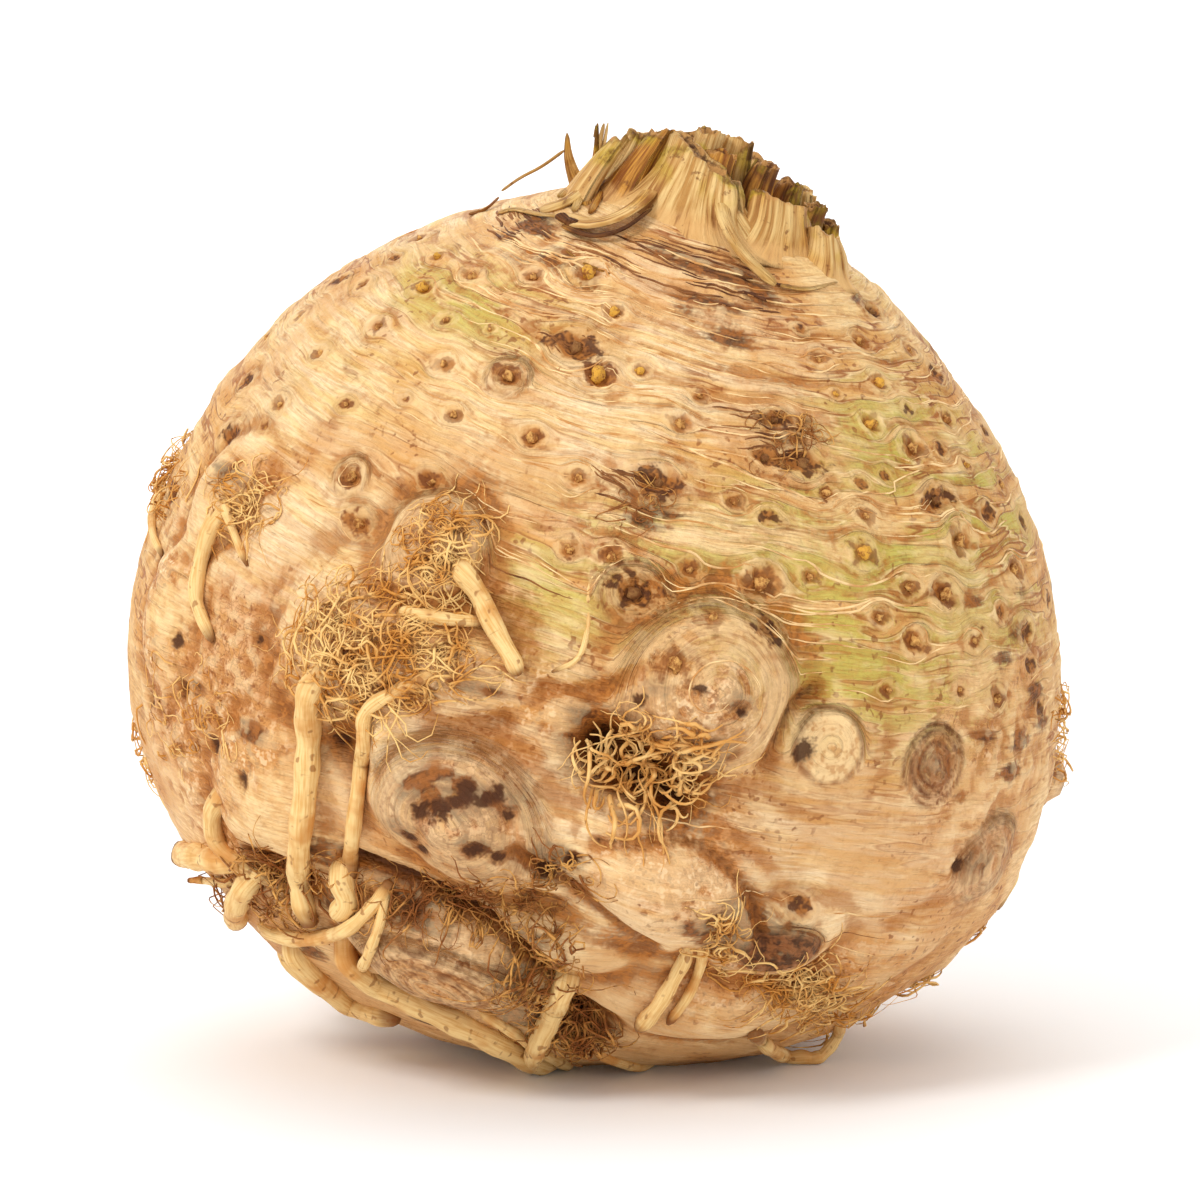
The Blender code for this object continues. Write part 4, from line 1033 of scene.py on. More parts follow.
# %% Clean skin
def skin_colour(s, streaks, strands, fine, grit):
    """The base skin: cream and tan, green between pale strands, rusty films, and fine fibres, darker
    where
    the fine bump is low: partly their own tone, partly painted shade.
    """
    blotch = s.attribute("blotch")
    low = s.attribute("low")
    light = s.mix(low, CREAM, srgb(242, 208, 156))
    dark = s.mix(low, TAN, srgb(222, 176, 118))
    colour = s.mix(s.between(blotch, 0.36, 0.66), light, dark)
    pale = s.times(s.attribute("pale"), s.between(streaks, 0.36, 0.60))
    colour = s.mix(s.times(pale, 0.8), colour, WHITE)
    film = s.times(s.between(s.attribute("film"), 0.48, 0.68), s.between(fine, 0.3, 0.6))
    film = s.times(film, s.between(s.attribute("green"), 0.1, 0.8, 1.0, 0.35))
    colour = s.mix(s.times(film, 0.5), colour, srgb(204, 140, 70))
    veil = s.plus(strands, s.times(grit, 0.3))
    green = s.times(s.attribute("green"), s.between(veil, 0.78, 0.58))
    colour = s.mix(s.times(green, s.between(blotch, 0.3, 0.5, 0.5, 0.95)), colour, GREEN)
    rust = s.plus(blotch, s.times(grit, 0.5))
    rust = s.times(s.attribute("rust"), s.between(rust, 0.62, 0.86))
    colour = s.mix(s.times(rust, 0.9), colour, RUST)
    # Fine fibres: darker where the fine bump is low, partly their own tone and partly painted shade in
    # the troughs
    return s.mix(s.between(fine, 0.60, 0.40, 0.0, 0.34), colour, srgb(190, 128, 62))


# %% Lines along the grain
def add_lines(s, colour, streaks, strands, fine):
    """Pale strands, crests partly their own tone and partly painted highlight, each with a painted
    shadow below it, and brown rings in the round scars.
    """
    lined = s.attribute("lined")
    blotch = s.attribute("blotch")
    # Painted shadow: a brown line just below each strand's crest
    shadow = s.times(s.between(strands, 0.500, 0.525), s.between(strands, 0.575, 0.53))
    shadow = s.times(shadow, s.between(blotch, 0.40, 0.58, 0.15, 1.0))
    shadow = s.times(shadow, lined)
    colour = s.mix(s.times(shadow, 0.8), colour, srgb(160, 94, 42))
    # Pale crest: partly the strand's own pale tone, partly painted highlight
    crest_tone_and_highlight = s.times(s.ridges(strands, 42.0), s.between(streaks, 0.4, 0.6, 0.2, 0.8))
    colour = s.mix(s.times(crest_tone_and_highlight, lined), colour, srgb(250, 222, 172))
    dark = s.times(s.between(streaks, 0.57, 0.68), s.between(fine, 0.42, 0.60))
    colour = s.mix(s.times(s.times(dark, lined), 0.65), colour, BROWN)
    rings = s.times(s.attribute("ringed"), s.between(fine, 0.46, 0.62))
    return s.mix(s.times(rings, 0.6), colour, srgb(160, 98, 42))


# %% Cork, hollows and scars
def add_scars(s, colour, streaks, grit, specks):
    """Cork, speckles, streaky dark scars, painted shade in hollows, creases and furrows, and painted
    highlight on crests.
    """
    blotch = s.attribute("blotch")
    cork = s.times(s.attribute("cork"), s.between(grit, 0.3, 0.6))
    colour = s.mix(s.times(cork, 0.75), colour, CORK)
    crack = s.times(s.attribute("cork"), s.ridges(grit, 26.0))
    colour = s.mix(s.times(crack, s.between(blotch, 0.45, 0.6, 0.2, 0.8)), colour, srgb(140, 86, 42))
    flakes = s.times(s.attribute("rust"), s.between(blotch, 0.40, 0.55))
    gaps = s.times(flakes, s.between(grit, 0.46, 0.36))
    colour = s.mix(s.times(gaps, 0.75), colour, srgb(142, 80, 30))
    net = s.times(flakes, s.between(grit, 0.54, 0.64))
    colour = s.mix(s.times(net, 0.85), colour, srgb(250, 224, 184))
    # Painted shade in creases below the plain ball
    crease_shade = s.times(s.attribute("crease_shade"), s.between(grit, 0.72, 0.35))
    colour = s.mix(s.times(crease_shade, 0.5), colour, BROWN)
    speck = s.times(s.between(specks, 0.60, 0.70), s.between(blotch, 0.45, 0.62, 0.15, 1.0))
    colour = s.mix(s.times(speck, 0.7), colour, srgb(146, 86, 40))
    brown = s.plus(s.times(s.attribute("brown"), 1.2), s.times(streaks, 1.5))
    brown = s.plus(brown, s.times(grit, 0.9))
    brown = s.times(s.between(brown, 1.65, 2.15), s.between(s.attribute("brown"), 0.05, 0.35))
    colour = s.mix(s.times(brown, 0.9), colour, s.mix(s.between(grit, 0.40, 0.60), DARK_BROWN, BROWN))
    # Painted highlight on the small crests and painted shade in the small hollows
    small_shade_and_highlight = s.ragged(s.attribute("hollow_small"), grit, 1.4)
    colour = s.mix(s.between(small_shade_and_highlight, -0.2, -0.9, 0.0, 0.30), colour, srgb(252, 228, 182))
    colour = s.mix(s.between(small_shade_and_highlight, 0.15, 0.95, 0.0, 0.5), colour, srgb(176, 112, 48))
    # Painted shade in the large hollows, held off the unshaded patches
    large_hollow_shade = s.ragged(s.attribute("hollow_large"), grit, 1.7)
    large_hollow_shade = s.ragged(large_hollow_shade, streaks, 1.6)
    unshaded = s.between(s.attribute("unshaded"), 0.0, 0.9, 0.8, 0.0)
    large_hollow_shade = s.times(s.between(large_hollow_shade, 0.0, 1.2), unshaded)
    hollow_shade_colour = s.mix(s.between(grit, 0.42, 0.6), srgb(140, 84, 32), srgb(190, 124, 54))
    colour = s.mix(large_hollow_shade, colour, hollow_shade_colour)
    # Painted shade at the bottom of each furrow
    furrow_shade = s.ragged(s.attribute("furrow_shade"), grit, 0.9)
    return s.mix(s.between(furrow_shade, 0.3, 0.8, 0.0, 0.85), colour, srgb(96, 54, 20))


# %% Round marks and eyes
def add_marks(s, colour, grit):
    """The pale disc, the ringed scars and the dark lens, each from its own mask."""
    pale = s.mix(s.between(grit, 0.32, 0.52), srgb(206, 160, 108), srgb(242, 212, 162))
    colour = s.mix(s.attribute("mark_pale"), colour, pale)
    rings = s.times(s.attribute("mark_rings"), s.between(grit, 0.66, 0.42, 0.3, 0.95))
    colour = s.mix(rings, colour, srgb(122, 70, 30))
    dark = s.mix(s.between(grit, 0.4, 0.62), srgb(84, 48, 22), srgb(150, 98, 58))
    return s.mix(s.times(s.attribute("mark_dark"), 0.9), colour, dark)


def add_eyes(s, colour, fine, grit):
    """Round each eye a soft brown halo, a pale lip and a dark ring, and painted shade in the pits of the
    cork.
    """
    eye = s.ragged(s.attribute("eye"), grit, 1.6)
    tone = s.attribute("eye_tone")
    halo = s.times(s.between(eye, 2.7, 1.1), s.between(fine, 0.38, 0.58, 0.25, 1.0))
    colour = s.mix(s.times(s.times(halo, tone), 0.5), colour, srgb(170, 112, 50))
    lip = s.times(s.between(eye, 1.05, 1.25), s.between(eye, 1.7, 1.4))
    colour = s.mix(s.times(lip, 0.25), colour, CREAM)
    ring = s.times(s.between(eye, 1.05, 0.65), s.between(tone, 0.2, 0.9, 0.4, 1.0))
    dark = s.mix(s.attribute("eye_dark"), srgb(134, 80, 36), srgb(96, 54, 22))
    dark = s.mix(s.between(grit, 0.42, 0.62), dark, srgb(176, 118, 58))
    colour = s.mix(s.times(ring, 0.9), colour, dark)
    # Painted shade in the pits of the cork
    pit_shade = s.ragged(s.attribute("pit_shade"), grit, 1.6)
    return s.mix(s.between(pit_shade, 0.3, 0.8, 0.0, 0.9), colour, srgb(84, 48, 20))


# %% Skin material
# Noise scales across and along the flow, per millimetre
STREAK_GRAIN = (0.07, 0.07, 0.66)
STRAND_GRAIN = (0.05, 0.05, 0.38)
FINE_GRAIN = (0.28, 0.28, 2.8)
GRIT_SCALE = 640
SPECK_SCALE = 900
SKIN_BUMP_MM = 0.75


def skin_material():
    s = Shader("celeriac_skin", 0.62)
    place = s.place()
    flow = s.attribute("flow", "Vector")
    streaks = s.noise(s.stretch(flow, STREAK_GRAIN), 1.0, 2, 0.62)
    strands = s.noise(s.stretch(flow, STRAND_GRAIN, (3, 7, 1)), 1.0, 2, 0.6)
    fine = s.noise(s.stretch(flow, FINE_GRAIN, (9, 2, 5)), 1.0, 2, 0.65)
    grit = s.noise(place, GRIT_SCALE, 2, 0.75)
    specks = s.noise(place, SPECK_SCALE, 1, 0.6)
    colour = skin_colour(s, streaks, strands, fine, grit)
    colour = add_lines(s, colour, streaks, strands, fine)
    colour = add_scars(s, colour, streaks, grit, specks)
    colour = add_marks(s, colour, grit)
    colour = add_eyes(s, colour, fine, grit)
    lined = s.attribute("lined")
    height = s.plus(s.times(streaks, 0.7), s.times(s.ridges(strands, 20.0), 0.22))
    height = s.times(height, lined)
    height = s.plus(height, s.times(fine, 0.5))
    height = s.plus(height, s.times(grit, 0.6))
    return s.finish(colour, height, SKIN_BUMP_MM)


skin.data.materials.append(skin_material())
print("skin nodes:", len(skin.data.materials[0].node_tree.nodes))

# %% [markdown]
# ## Thick side roots
#
# A side root is a tapering, slightly knotty tube. A bevelled curve would do, but it has no grain that
# a shader can follow, so each one starts as a circle whose rim is extruded from place to place. It
# stores how far along and round each point lies, in millimetres. The first places are sunk in the
# body, so the root grows out of it.

# %% Tubes that know their grain
GRAIN_TWIST = 0.04


def tube_frames(path):
    """Two steady cross directions along a path, carried from one place to the next."""
    tangents = unit(np.gradient(path, axis=0))
    side = unit(np.cross(tangents[0], path[0] - CENTRE + 0.0001))
    sides = []
    for tangent in tangents:
        side = unit(side - (side @ tangent) * tangent)
        sides.append(side)
    sides = np.array(sides)
    return sides, np.cross(tangents, sides)


def add_tube(shape, path, radii, sides, seed, knots=0.06, tone=None, flat=1.0):
    """Extrudes a circle along a path, flattened against the skin, and stores the grain on the way."""
    grain = shape.verts.layers.float_vector["grain"]
    tones = shape.verts.layers.float["tone"]
    first, second = tube_frames(path)
    lengths = np.concatenate([[0], np.cumsum(np.linalg.norm(np.diff(path, axis=0), axis=1))])
    ring = bmesh.ops.create_circle(shape, segments=sides, radius=1.0)["verts"]
    loop = list({edge for vertex in ring for edge in vertex.link_edges})
    bmesh.ops.contextual_create(shape, geom=loop)
    angles = [2 * math.pi * k / sides for k in range(sides)]

    def lay(vertices, i, radius):
        for vertex, angle in zip(vertices, angles):
            around = first[i] * math.cos(angle) + second[i] * math.sin(angle) * flat
            along = lengths[i] / MM
            spot = Vector((math.cos(angle), math.sin(angle), along * 0.35 + seed))
            bulge = 1 + knots * noise.fractal(spot, 1.0, 2.0, 2)
            vertex.co = path[i] + around * radius * bulge
            round_it = math.cos(angle + along * GRAIN_TWIST) * 2 + seed
            vertex[grain] = (along, round_it, math.sin(angle) * 2)
            vertex[tones] = tone if tone is not None else i / (len(path) - 1)

    lay(ring, 0, radii[0])
    for i in range(1, len(path)):
        grown = bmesh.ops.extrude_edge_only(shape, edges=loop)["geom"]
        ring = ordered_ring(ring, [item for item in grown if isinstance(item, bmesh.types.BMVert)])
        loop = [item for item in grown if isinstance(item, bmesh.types.BMEdge) and item.is_boundary]
        lay(ring, i, radii[i])
    bmesh.ops.contextual_create(shape, geom=loop)


def ordered_ring(old, new):
    """The new vertices in the order of the old ones that they were extruded from."""
    fresh = set(new)
    return [
        next(edge.other_vert(v) for edge in v.link_edges if edge.other_vert(v) in fresh)
        for v in old
    ]


def tube_shape():
    shape = bmesh.new()
    shape.verts.layers.float_vector.new("grain")
    shape.verts.layers.float.new("tone")
    return shape


# %% Front side roots
# Pixels, thickness at the start and at the end mm, arch mm
FRONT_ROOTS = [
    ([(452, 562), (478, 590), (496, 625), (512, 655), (519, 674)], 3.0, 2.2, 1.6),
    ([(398, 612), (422, 616), (452, 620), (486, 622)], 2.0, 1.6, 0.8),
    (
        [(448, 664), (414, 683), (382, 700), (369, 716), (368, 748), (361, 800), (354, 850), (351, 880)],
        1.7, 2.2, 1.0,
    ),
    (
        [(322, 664), (314, 698), (317, 740), (314, 790), (307, 850), (308, 895), (313, 922)],
        3.6, 2.9, 1.4,
    ),
    ([(224, 500), (211, 545), (203, 590), (206, 615), (214, 642)], 2.6, 1.4, 0.8),
    ([(224, 498), (236, 530), (248, 566)], 1.6, 0.9, 0.4),
    ([(164, 488), (156, 512), (156, 535), (163, 556)], 1.4, 0.9, 0.3),
    ([(216, 792), (218, 832), (238, 858), (278, 882)], 2.8, 2.2, 0.3),
    ([(236, 862), (206, 854), (178, 850)], 3.6, 3.8, 0.4),
    ([(258, 872), (246, 896), (240, 922)], 3.4, 3.2, 1.0),
    ([(236, 884), (208, 878), (188, 880)], 1.4, 0.8, 0.5),
    ([(250, 925), (300, 935), (348, 926), (378, 900), (392, 880)], 2.2, 1.8, 0.8),
    ([(340, 866), (352, 895), (338, 912)], 3.6, 3.0, 0.6),
    ([(390, 880), (384, 918), (372, 950), (360, 972)], 1.3, 1.6, 1.0),
    ([(336, 930), (360, 968), (420, 998), (480, 1026), (530, 1052), (566, 1066)], 3.0, 3.8, 0.6),
    ([(470, 1004), (515, 1030), (548, 1052), (580, 1068)], 1.4, 1.8, 0.3),
    ([(572, 966), (552, 1006), (537, 1040), (529, 1074)], 3.4, 2.3, 1.6),
    ([(692, 944), (672, 972), (655, 1000), (638, 1026)], 1.8, 2.4, 1.2),
    ([(706, 944), (690, 985), (668, 1022)], 1.4, 1.4, 0.6),
    ([(590, 1050), (628, 1062), (660, 1067), (684, 1066)], 1.8, 0.7, 0.2),
    ([(846, 1010), (830, 1038), (806, 1054), (772, 1046), (752, 1030)], 1.5, 2.2, 0.8),
    ([(286, 936), (314, 968), (352, 1000), (400, 1018)], 3.4, 2.8, 0.3),
    ([(612, 557), (590, 584), (588, 625), (578, 658), (552, 672)], 1.0, 0.7, -0.2),
]
ROOT_SUNK = 2.0 * MM
ROOT_LIFT_SHARE = 0.3
TABLE_CLEAR = 0.15 * MM
ROOT_SIDES = 14
SECTION_STEP = 0.9 * MM
ROOT_GUIDE_POINTS = 26
# Shares of the radius in the last three sections, which round the end off
ROOT_TIP = (0.96, 0.84, 0.45)


def root_lifts(count, start, end, arch):
    """How far the root's middle line stands off the skin: sunk at its start, then lying and arching."""
    shares = np.linspace(0, 1, count)
    lying = ROOT_LIFT_SHARE * (start + (end - start) * shares) / 2
    sinking = (ROOT_SUNK + lying[0]) * np.clip(1 - shares * 7, 0, 1) ** 1.5
    return lying + arch * np.sin(math.pi * shares) - sinking


def grow_root(shape, path, start, end, seed, tone=None):
    """A root along a path of the right step, with a rounded end."""
    length = np.linalg.norm(np.diff(path, axis=0), axis=1).sum()
    count = max(10, int(length / SECTION_STEP))
    path = smooth_path(path, count)
    shares = np.linspace(0, 1, count)
    radii = (start + (end - start) * shares) / 2
    radii = radii * (1 + 0.07 * np.sin(shares * length / MM * 0.9 + seed))
    radii[-3:] *= ROOT_TIP
    path[:, 2] = np.maximum(path[:, 2], radii + TABLE_CLEAR)
    add_tube(shape, path, radii, ROOT_SIDES, seed, tone=tone)


roots_shape = tube_shape()
for number, (pixels, start, end, arch) in enumerate(FRONT_ROOTS):
    guide = smooth_path(pixels, ROOT_GUIDE_POINTS)
    places = seen_points(guide, body_radius)
    lifts = root_lifts(len(guide), start * MM, end * MM, arch * MM)
    path = places + unit(places - CENTRE) * lifts[:, None]
    grow_root(roots_shape, path, start * MM, end * MM, number)
front_roots = new_piece("front_roots", roots_shape)
print("front roots:", triangle_count(front_roots.data), "triangles")

# %% [markdown]
# ## Side roots behind
#
# The back has side roots too. Each one is a short walk over the skin that leaves the lower back and
# wanders down, and the same tube grows along it.

# %% Side roots of the back
BACK_ROOT_SEED = 23
BACK_ROOTS = 15
BACK_ROOT_LATITUDES = (-42, -8)
BACK_ROOT_SPREAD = 84
BACK_ROOT_SHIFT = 6
BACK_ROOT_STEP = 6.0 * MM
BACK_ROOT_THICK_MM = (1.8, 3.6)
BACK_ROOT_WANDER = 0.55
BACK_ROOT_FIRST_SEED = 40


def back_root_paths():
    """Each root leaves the lower back, and wanders down over the skin towards the underside."""
    draw = random.Random(BACK_ROOT_SEED)
    low, high = BACK_ROOT_LATITUDES
    for i in range(BACK_ROOTS):
        azimuth = -BACK_ROOT_SPREAD + 2 * BACK_ROOT_SPREAD * (i + 0.5) / BACK_ROOTS
        azimuth = math.radians(azimuth + draw.uniform(-BACK_ROOT_SHIFT, BACK_ROOT_SHIFT))
        latitude = math.radians(draw.uniform(low, high))
        start = draw.uniform(*BACK_ROOT_THICK_MM) * MM
        end = start * draw.uniform(0.6, 0.9)
        arch = draw.uniform(0.3, 1.8) * MM
        count = draw.randint(5, 7)
        heading = draw.uniform(-1.0, 1.0)
        direction = direction_at(azimuth, latitude)
        walked = []
        for _ in range(count):
            walked.append(direction)
            level = unit(np.cross([0.0, 0.0, 1.0], direction))
            downward = np.cross(level, direction)
            heading += draw.uniform(-BACK_ROOT_WANDER, BACK_ROOT_WANDER)
            step = downward * math.cos(heading) + level * math.sin(heading)
            direction = unit(direction + step * BACK_ROOT_STEP / DEPTH_RADIUS)
        yield np.array(walked), start, end, arch


back_shape = tube_shape()
for number, (walked, start, end, arch) in enumerate(back_root_paths()):
    guide = unit(smooth_path(walked, ROOT_GUIDE_POINTS))
    lifts = root_lifts(len(guide), start, end, arch)
    grow_root(back_shape, on_skin(guide, lifts), start, end, BACK_ROOT_FIRST_SEED + number)
back_roots = new_piece("back_roots", back_shape)
print("back roots:", triangle_count(back_roots.data), "triangles")

# %% [markdown]
# ## What the side roots are made of
#
# The grain of each tube gives long fibres and faint rings. Both ends are darker: the foot, where the
# root meets the skin, and the tip, where the root was torn or cut.


# %% Root material
def root_material():
    s = Shader("root_skin", 0.6)
    place = s.place()
    grain = s.attribute("grain", "Vector")
    along = s.noise(s.stretch(grain, (0.25, 2.2, 2.2)), 1.0, 2, 0.6)
    rings = s.noise(s.stretch(grain, (2.4, 0.25, 0.25), (4, 1, 1)), 1.0, 2, 0.6)
    blotch = s.noise(place, 130, 3, 0.6)
    colour = s.mix(s.between(along, 0.38, 0.72), srgb(240, 210, 152), srgb(222, 178, 112))
    colour = s.mix(s.between(blotch, 0.48, 0.68, 0.0, 0.8), colour, srgb(208, 146, 74))
    colour = s.mix(s.between(rings, 0.66, 0.78, 0.0, 0.3), colour, BROWN)
    share = s.ragged(s.attribute("tone"), blotch, 0.3)
    colour = s.mix(s.between(share, 0.84, 1.0, 0.0, 0.85), colour, srgb(130, 78, 34))
    # Darker at the foot, where the root meets the skin
    colour = s.mix(s.between(share, 0.10, -0.03, 0.0, 0.7), colour, srgb(170, 112, 56))
    specks = s.noise(place, 700, 1, 0.5)
    colour = s.mix(s.between(specks, 0.64, 0.72, 0.0, 0.6), colour, srgb(150, 92, 44))
    height = s.plus(s.times(along, 0.3), s.times(rings, 0.8))
    height = s.plus(height, s.times(blotch, 0.8))
    return s.finish(colour, height, 0.16)


root_skin = root_material()
for piece in (front_roots, back_roots):
    piece.data.materials.append(root_skin)
print("root material on", front_roots.name, "and", back_roots.name)

# %% [markdown]
# ## The stubs in the eyes
#
# Each eye holds what is left of a thin root: a corky button, a little taller than wide where it tore
# late. An icosphere squashed along the skin's normal and roughened by noise does it in a few dozen
# faces.

# %% Eye stubs
STUB_LIFT = {PLAIN: 0.05, YELLOW: 0.25, DARK: -0.25, TORN: 0.0}
STUB_TALL = {PLAIN: 0.5, YELLOW: 0.75, DARK: 0.4, TORN: 0.5}
STUB_WIDE = {PLAIN: 0.52, YELLOW: 0.66, DARK: 0.42, TORN: 0.45}
STUB_SUNK = 0.3
STUB_ROUGH = 0.8
STUB_GRAIN = 2.4
STUB_SEED = 5

stub_shape = bmesh.new()
stub_tones = stub_shape.verts.layers.float.new("tone")
stub_draw = random.Random(STUB_SEED)
eye_skins = on_skin(np.array([middle for middle, _, _ in EYES]))
for (middle, radius, kind), spot in zip(EYES, eye_skins):
    wide = radius * STUB_WIDE[kind] * stub_draw.uniform(0.85, 1.1)
    turn = Vector(middle).to_track_quat("Z", "Y").to_matrix().to_4x4()
    squash = Matrix.Diagonal((wide, wide * stub_draw.uniform(0.75, 1.0), radius * STUB_TALL[kind], 1))
    spin = Matrix.Rotation(stub_draw.uniform(0, math.pi), 4, "Z")
    sunk_spot = spot + middle * (STUB_LIFT[kind] - STUB_SUNK) * radius
    place = Matrix.Translation(Vector(sunk_spot)) @ turn @ spin @ squash
    made = bmesh.ops.create_icosphere(stub_shape, subdivisions=2, radius=1.0, matrix=place)["verts"]
    shift = Vector((stub_draw.uniform(0, 9), stub_draw.uniform(0, 9), stub_draw.uniform(0, 9)))
    for vertex in made:
        vertex[stub_tones] = kind
        outward = (vertex.co - place.translation).normalized()
        vertex.co += outward * wide * STUB_ROUGH * noise.noise(outward * STUB_GRAIN + shift)
eye_stubs = new_piece("eye_stubs", stub_shape)
print("eye stubs:", triangle_count(eye_stubs.data), "triangles")

# %% [markdown]
# ## What the stubs are made of
#
# One material serves all kinds of stub. Each point knows its kind by a number, and the number picks
# the tint.


# %% Stub material
def stub_material():
    s = Shader("eye_stub", 0.7)
    place = s.place()
    kind = s.attribute("tone")
    grit = s.noise(place, 1500, 3, 0.6)
    colour = s.mix(s.between(grit, 0.38, 0.62), srgb(222, 174, 106), srgb(160, 106, 54))
    yellow = s.times(s.between(kind, 0.4, 0.6), s.between(kind, 1.6, 1.4))
    colour = s.mix(s.times(yellow, s.between(grit, 0.7, 0.4)), colour, srgb(222, 172, 74))
    dark = s.between(kind, 1.5, 1.9)
    colour = s.mix(s.times(dark, 0.75), colour, srgb(120, 78, 44))
    return s.finish(colour, grit, 0.3)


eye_stubs.data.materials.append(stub_material())
print("eye stub nodes:", len(eye_stubs.data.materials[0].node_tree.nodes))

# %% [markdown]
# ## The cut stalk bases
#
# Each stalk base is a ribbed, flaring stump with a torn, slanting cut. A circle is extruded upwards
# ring by ring. Its ribs are a wave round the ring, and the last rings turn inwards and down to make
# the fibrous, hollow cut.

# %% Stalks on the crown
# Right mm, away mm, height mm, lean right mm, lean away mm, half width mm, half thickness mm, share
# kept at the cut, tone from 0 (pale) to 1 (orange) and above (dark), slant of the cut to the right mm
STALKS = [
    (-18.5, 1.0, 9.0, -0.6, 0.0, 0.9, 0.8, 0.30, 0.8, 0.0),
    (-21.0, -3.5, 9.2, 5.0, 2.0, 3.2, 1.4, 0.86, 0.25, 0.7),
    (-14.6, -5.0, 10.0, 4.6, 2.0, 2.9, 1.8, 0.84, 0.95, 0.6),
    (-5.5, 1.0, 9.0, 2.6, 0.5, 3.2, 2.0, 0.90, 0.3, 0.0),
    (-4.0, -11.0, 7.9, 0.6, 3.8, 6.7, 3.2, 0.78, 0.12, -2.2),
    (8.4, -9.5, 5.0, -0.3, 2.6, 5.0, 3.2, 0.92, 0.58, -1.0),
    (17.2, -8.0, 3.8, -1.4, 1.6, 3.9, 2.7, 0.76, 0.4, -0.8),
    (10.0, -15.0, 4.4, -7.5, 3.0, 2.0, 0.8, 0.80, 0.3, 0.0),
    (1.2, 4.0, 8.2, 0.0, 0.4, 2.4, 1.8, 0.86, 0.35, 0.0),
    (5.6, 0.5, 6.6, 0.0, 0.0, 2.6, 2.0, 0.90, 1.3, 0.0),
    (10.2, 3.0, 5.4, -0.4, 0.0, 2.5, 2.0, 0.90, 1.3, 0.0),
    (14.6, 1.5, 4.6, -0.6, 0.0, 2.4, 1.9, 0.90, 1.2, 0.0),
    (-15.0, 8.0, 8.0, 3.0, -1.4, 3.6, 2.2, 0.82, 0.3, 0.0),
    (-7.5, 13.5, 8.4, 1.6, -2.6, 5.2, 2.6, 0.74, 0.2, 0.0),
    (3.5, 15.0, 7.4, 0.4, -2.8, 4.4, 2.4, 0.80, 0.5, 0.0),
    (12.5, 12.0, 5.8, -1.2, -2.4, 4.6, 2.5, 0.74, 0.3, 0.0),
    (19.5, 5.5, 4.0, -2.4, -0.8, 2.8, 2.0, 0.80, 0.8, 0.0),
    (-1.5, -3.0, 7.0, 0.4, 0.4, 2.6, 2.0, 0.85, 1.1, 0.0),
]
STALK_SUNK = 2.5 * MM
STALK_FLARE = 1.25
FOOT_FLARE = 0.75
STALK_SIDES = 36
STALK_LEVELS = 12
THIN_STALK_SIDES = 14
THIN_STALK_MM = 1.5
RIB_WIDTH_MM = 1.6
FEWEST_RIBS = 6


def stalk_frame(right, back):
    """The direction of a stalk's foot from the centre, and the stalk's sideways and inward ones."""
    crown_middle = on_skin(CROWN_AXIS)[0]
    out = unit(crown_middle + (right * CROWN_RIGHT + back * CROWN_AWAY) * MM - CENTRE)
    rim = CROWN_RIGHT * back - CROWN_AWAY * right
    sideways = unit(rim) if abs(right) + abs(back) > 4 else CROWN_RIGHT
    sideways = sideways if sideways @ CROWN_RIGHT >= 0 else -sideways
    return out, sideways, unit(np.cross(CROWN_AXIS, sideways))


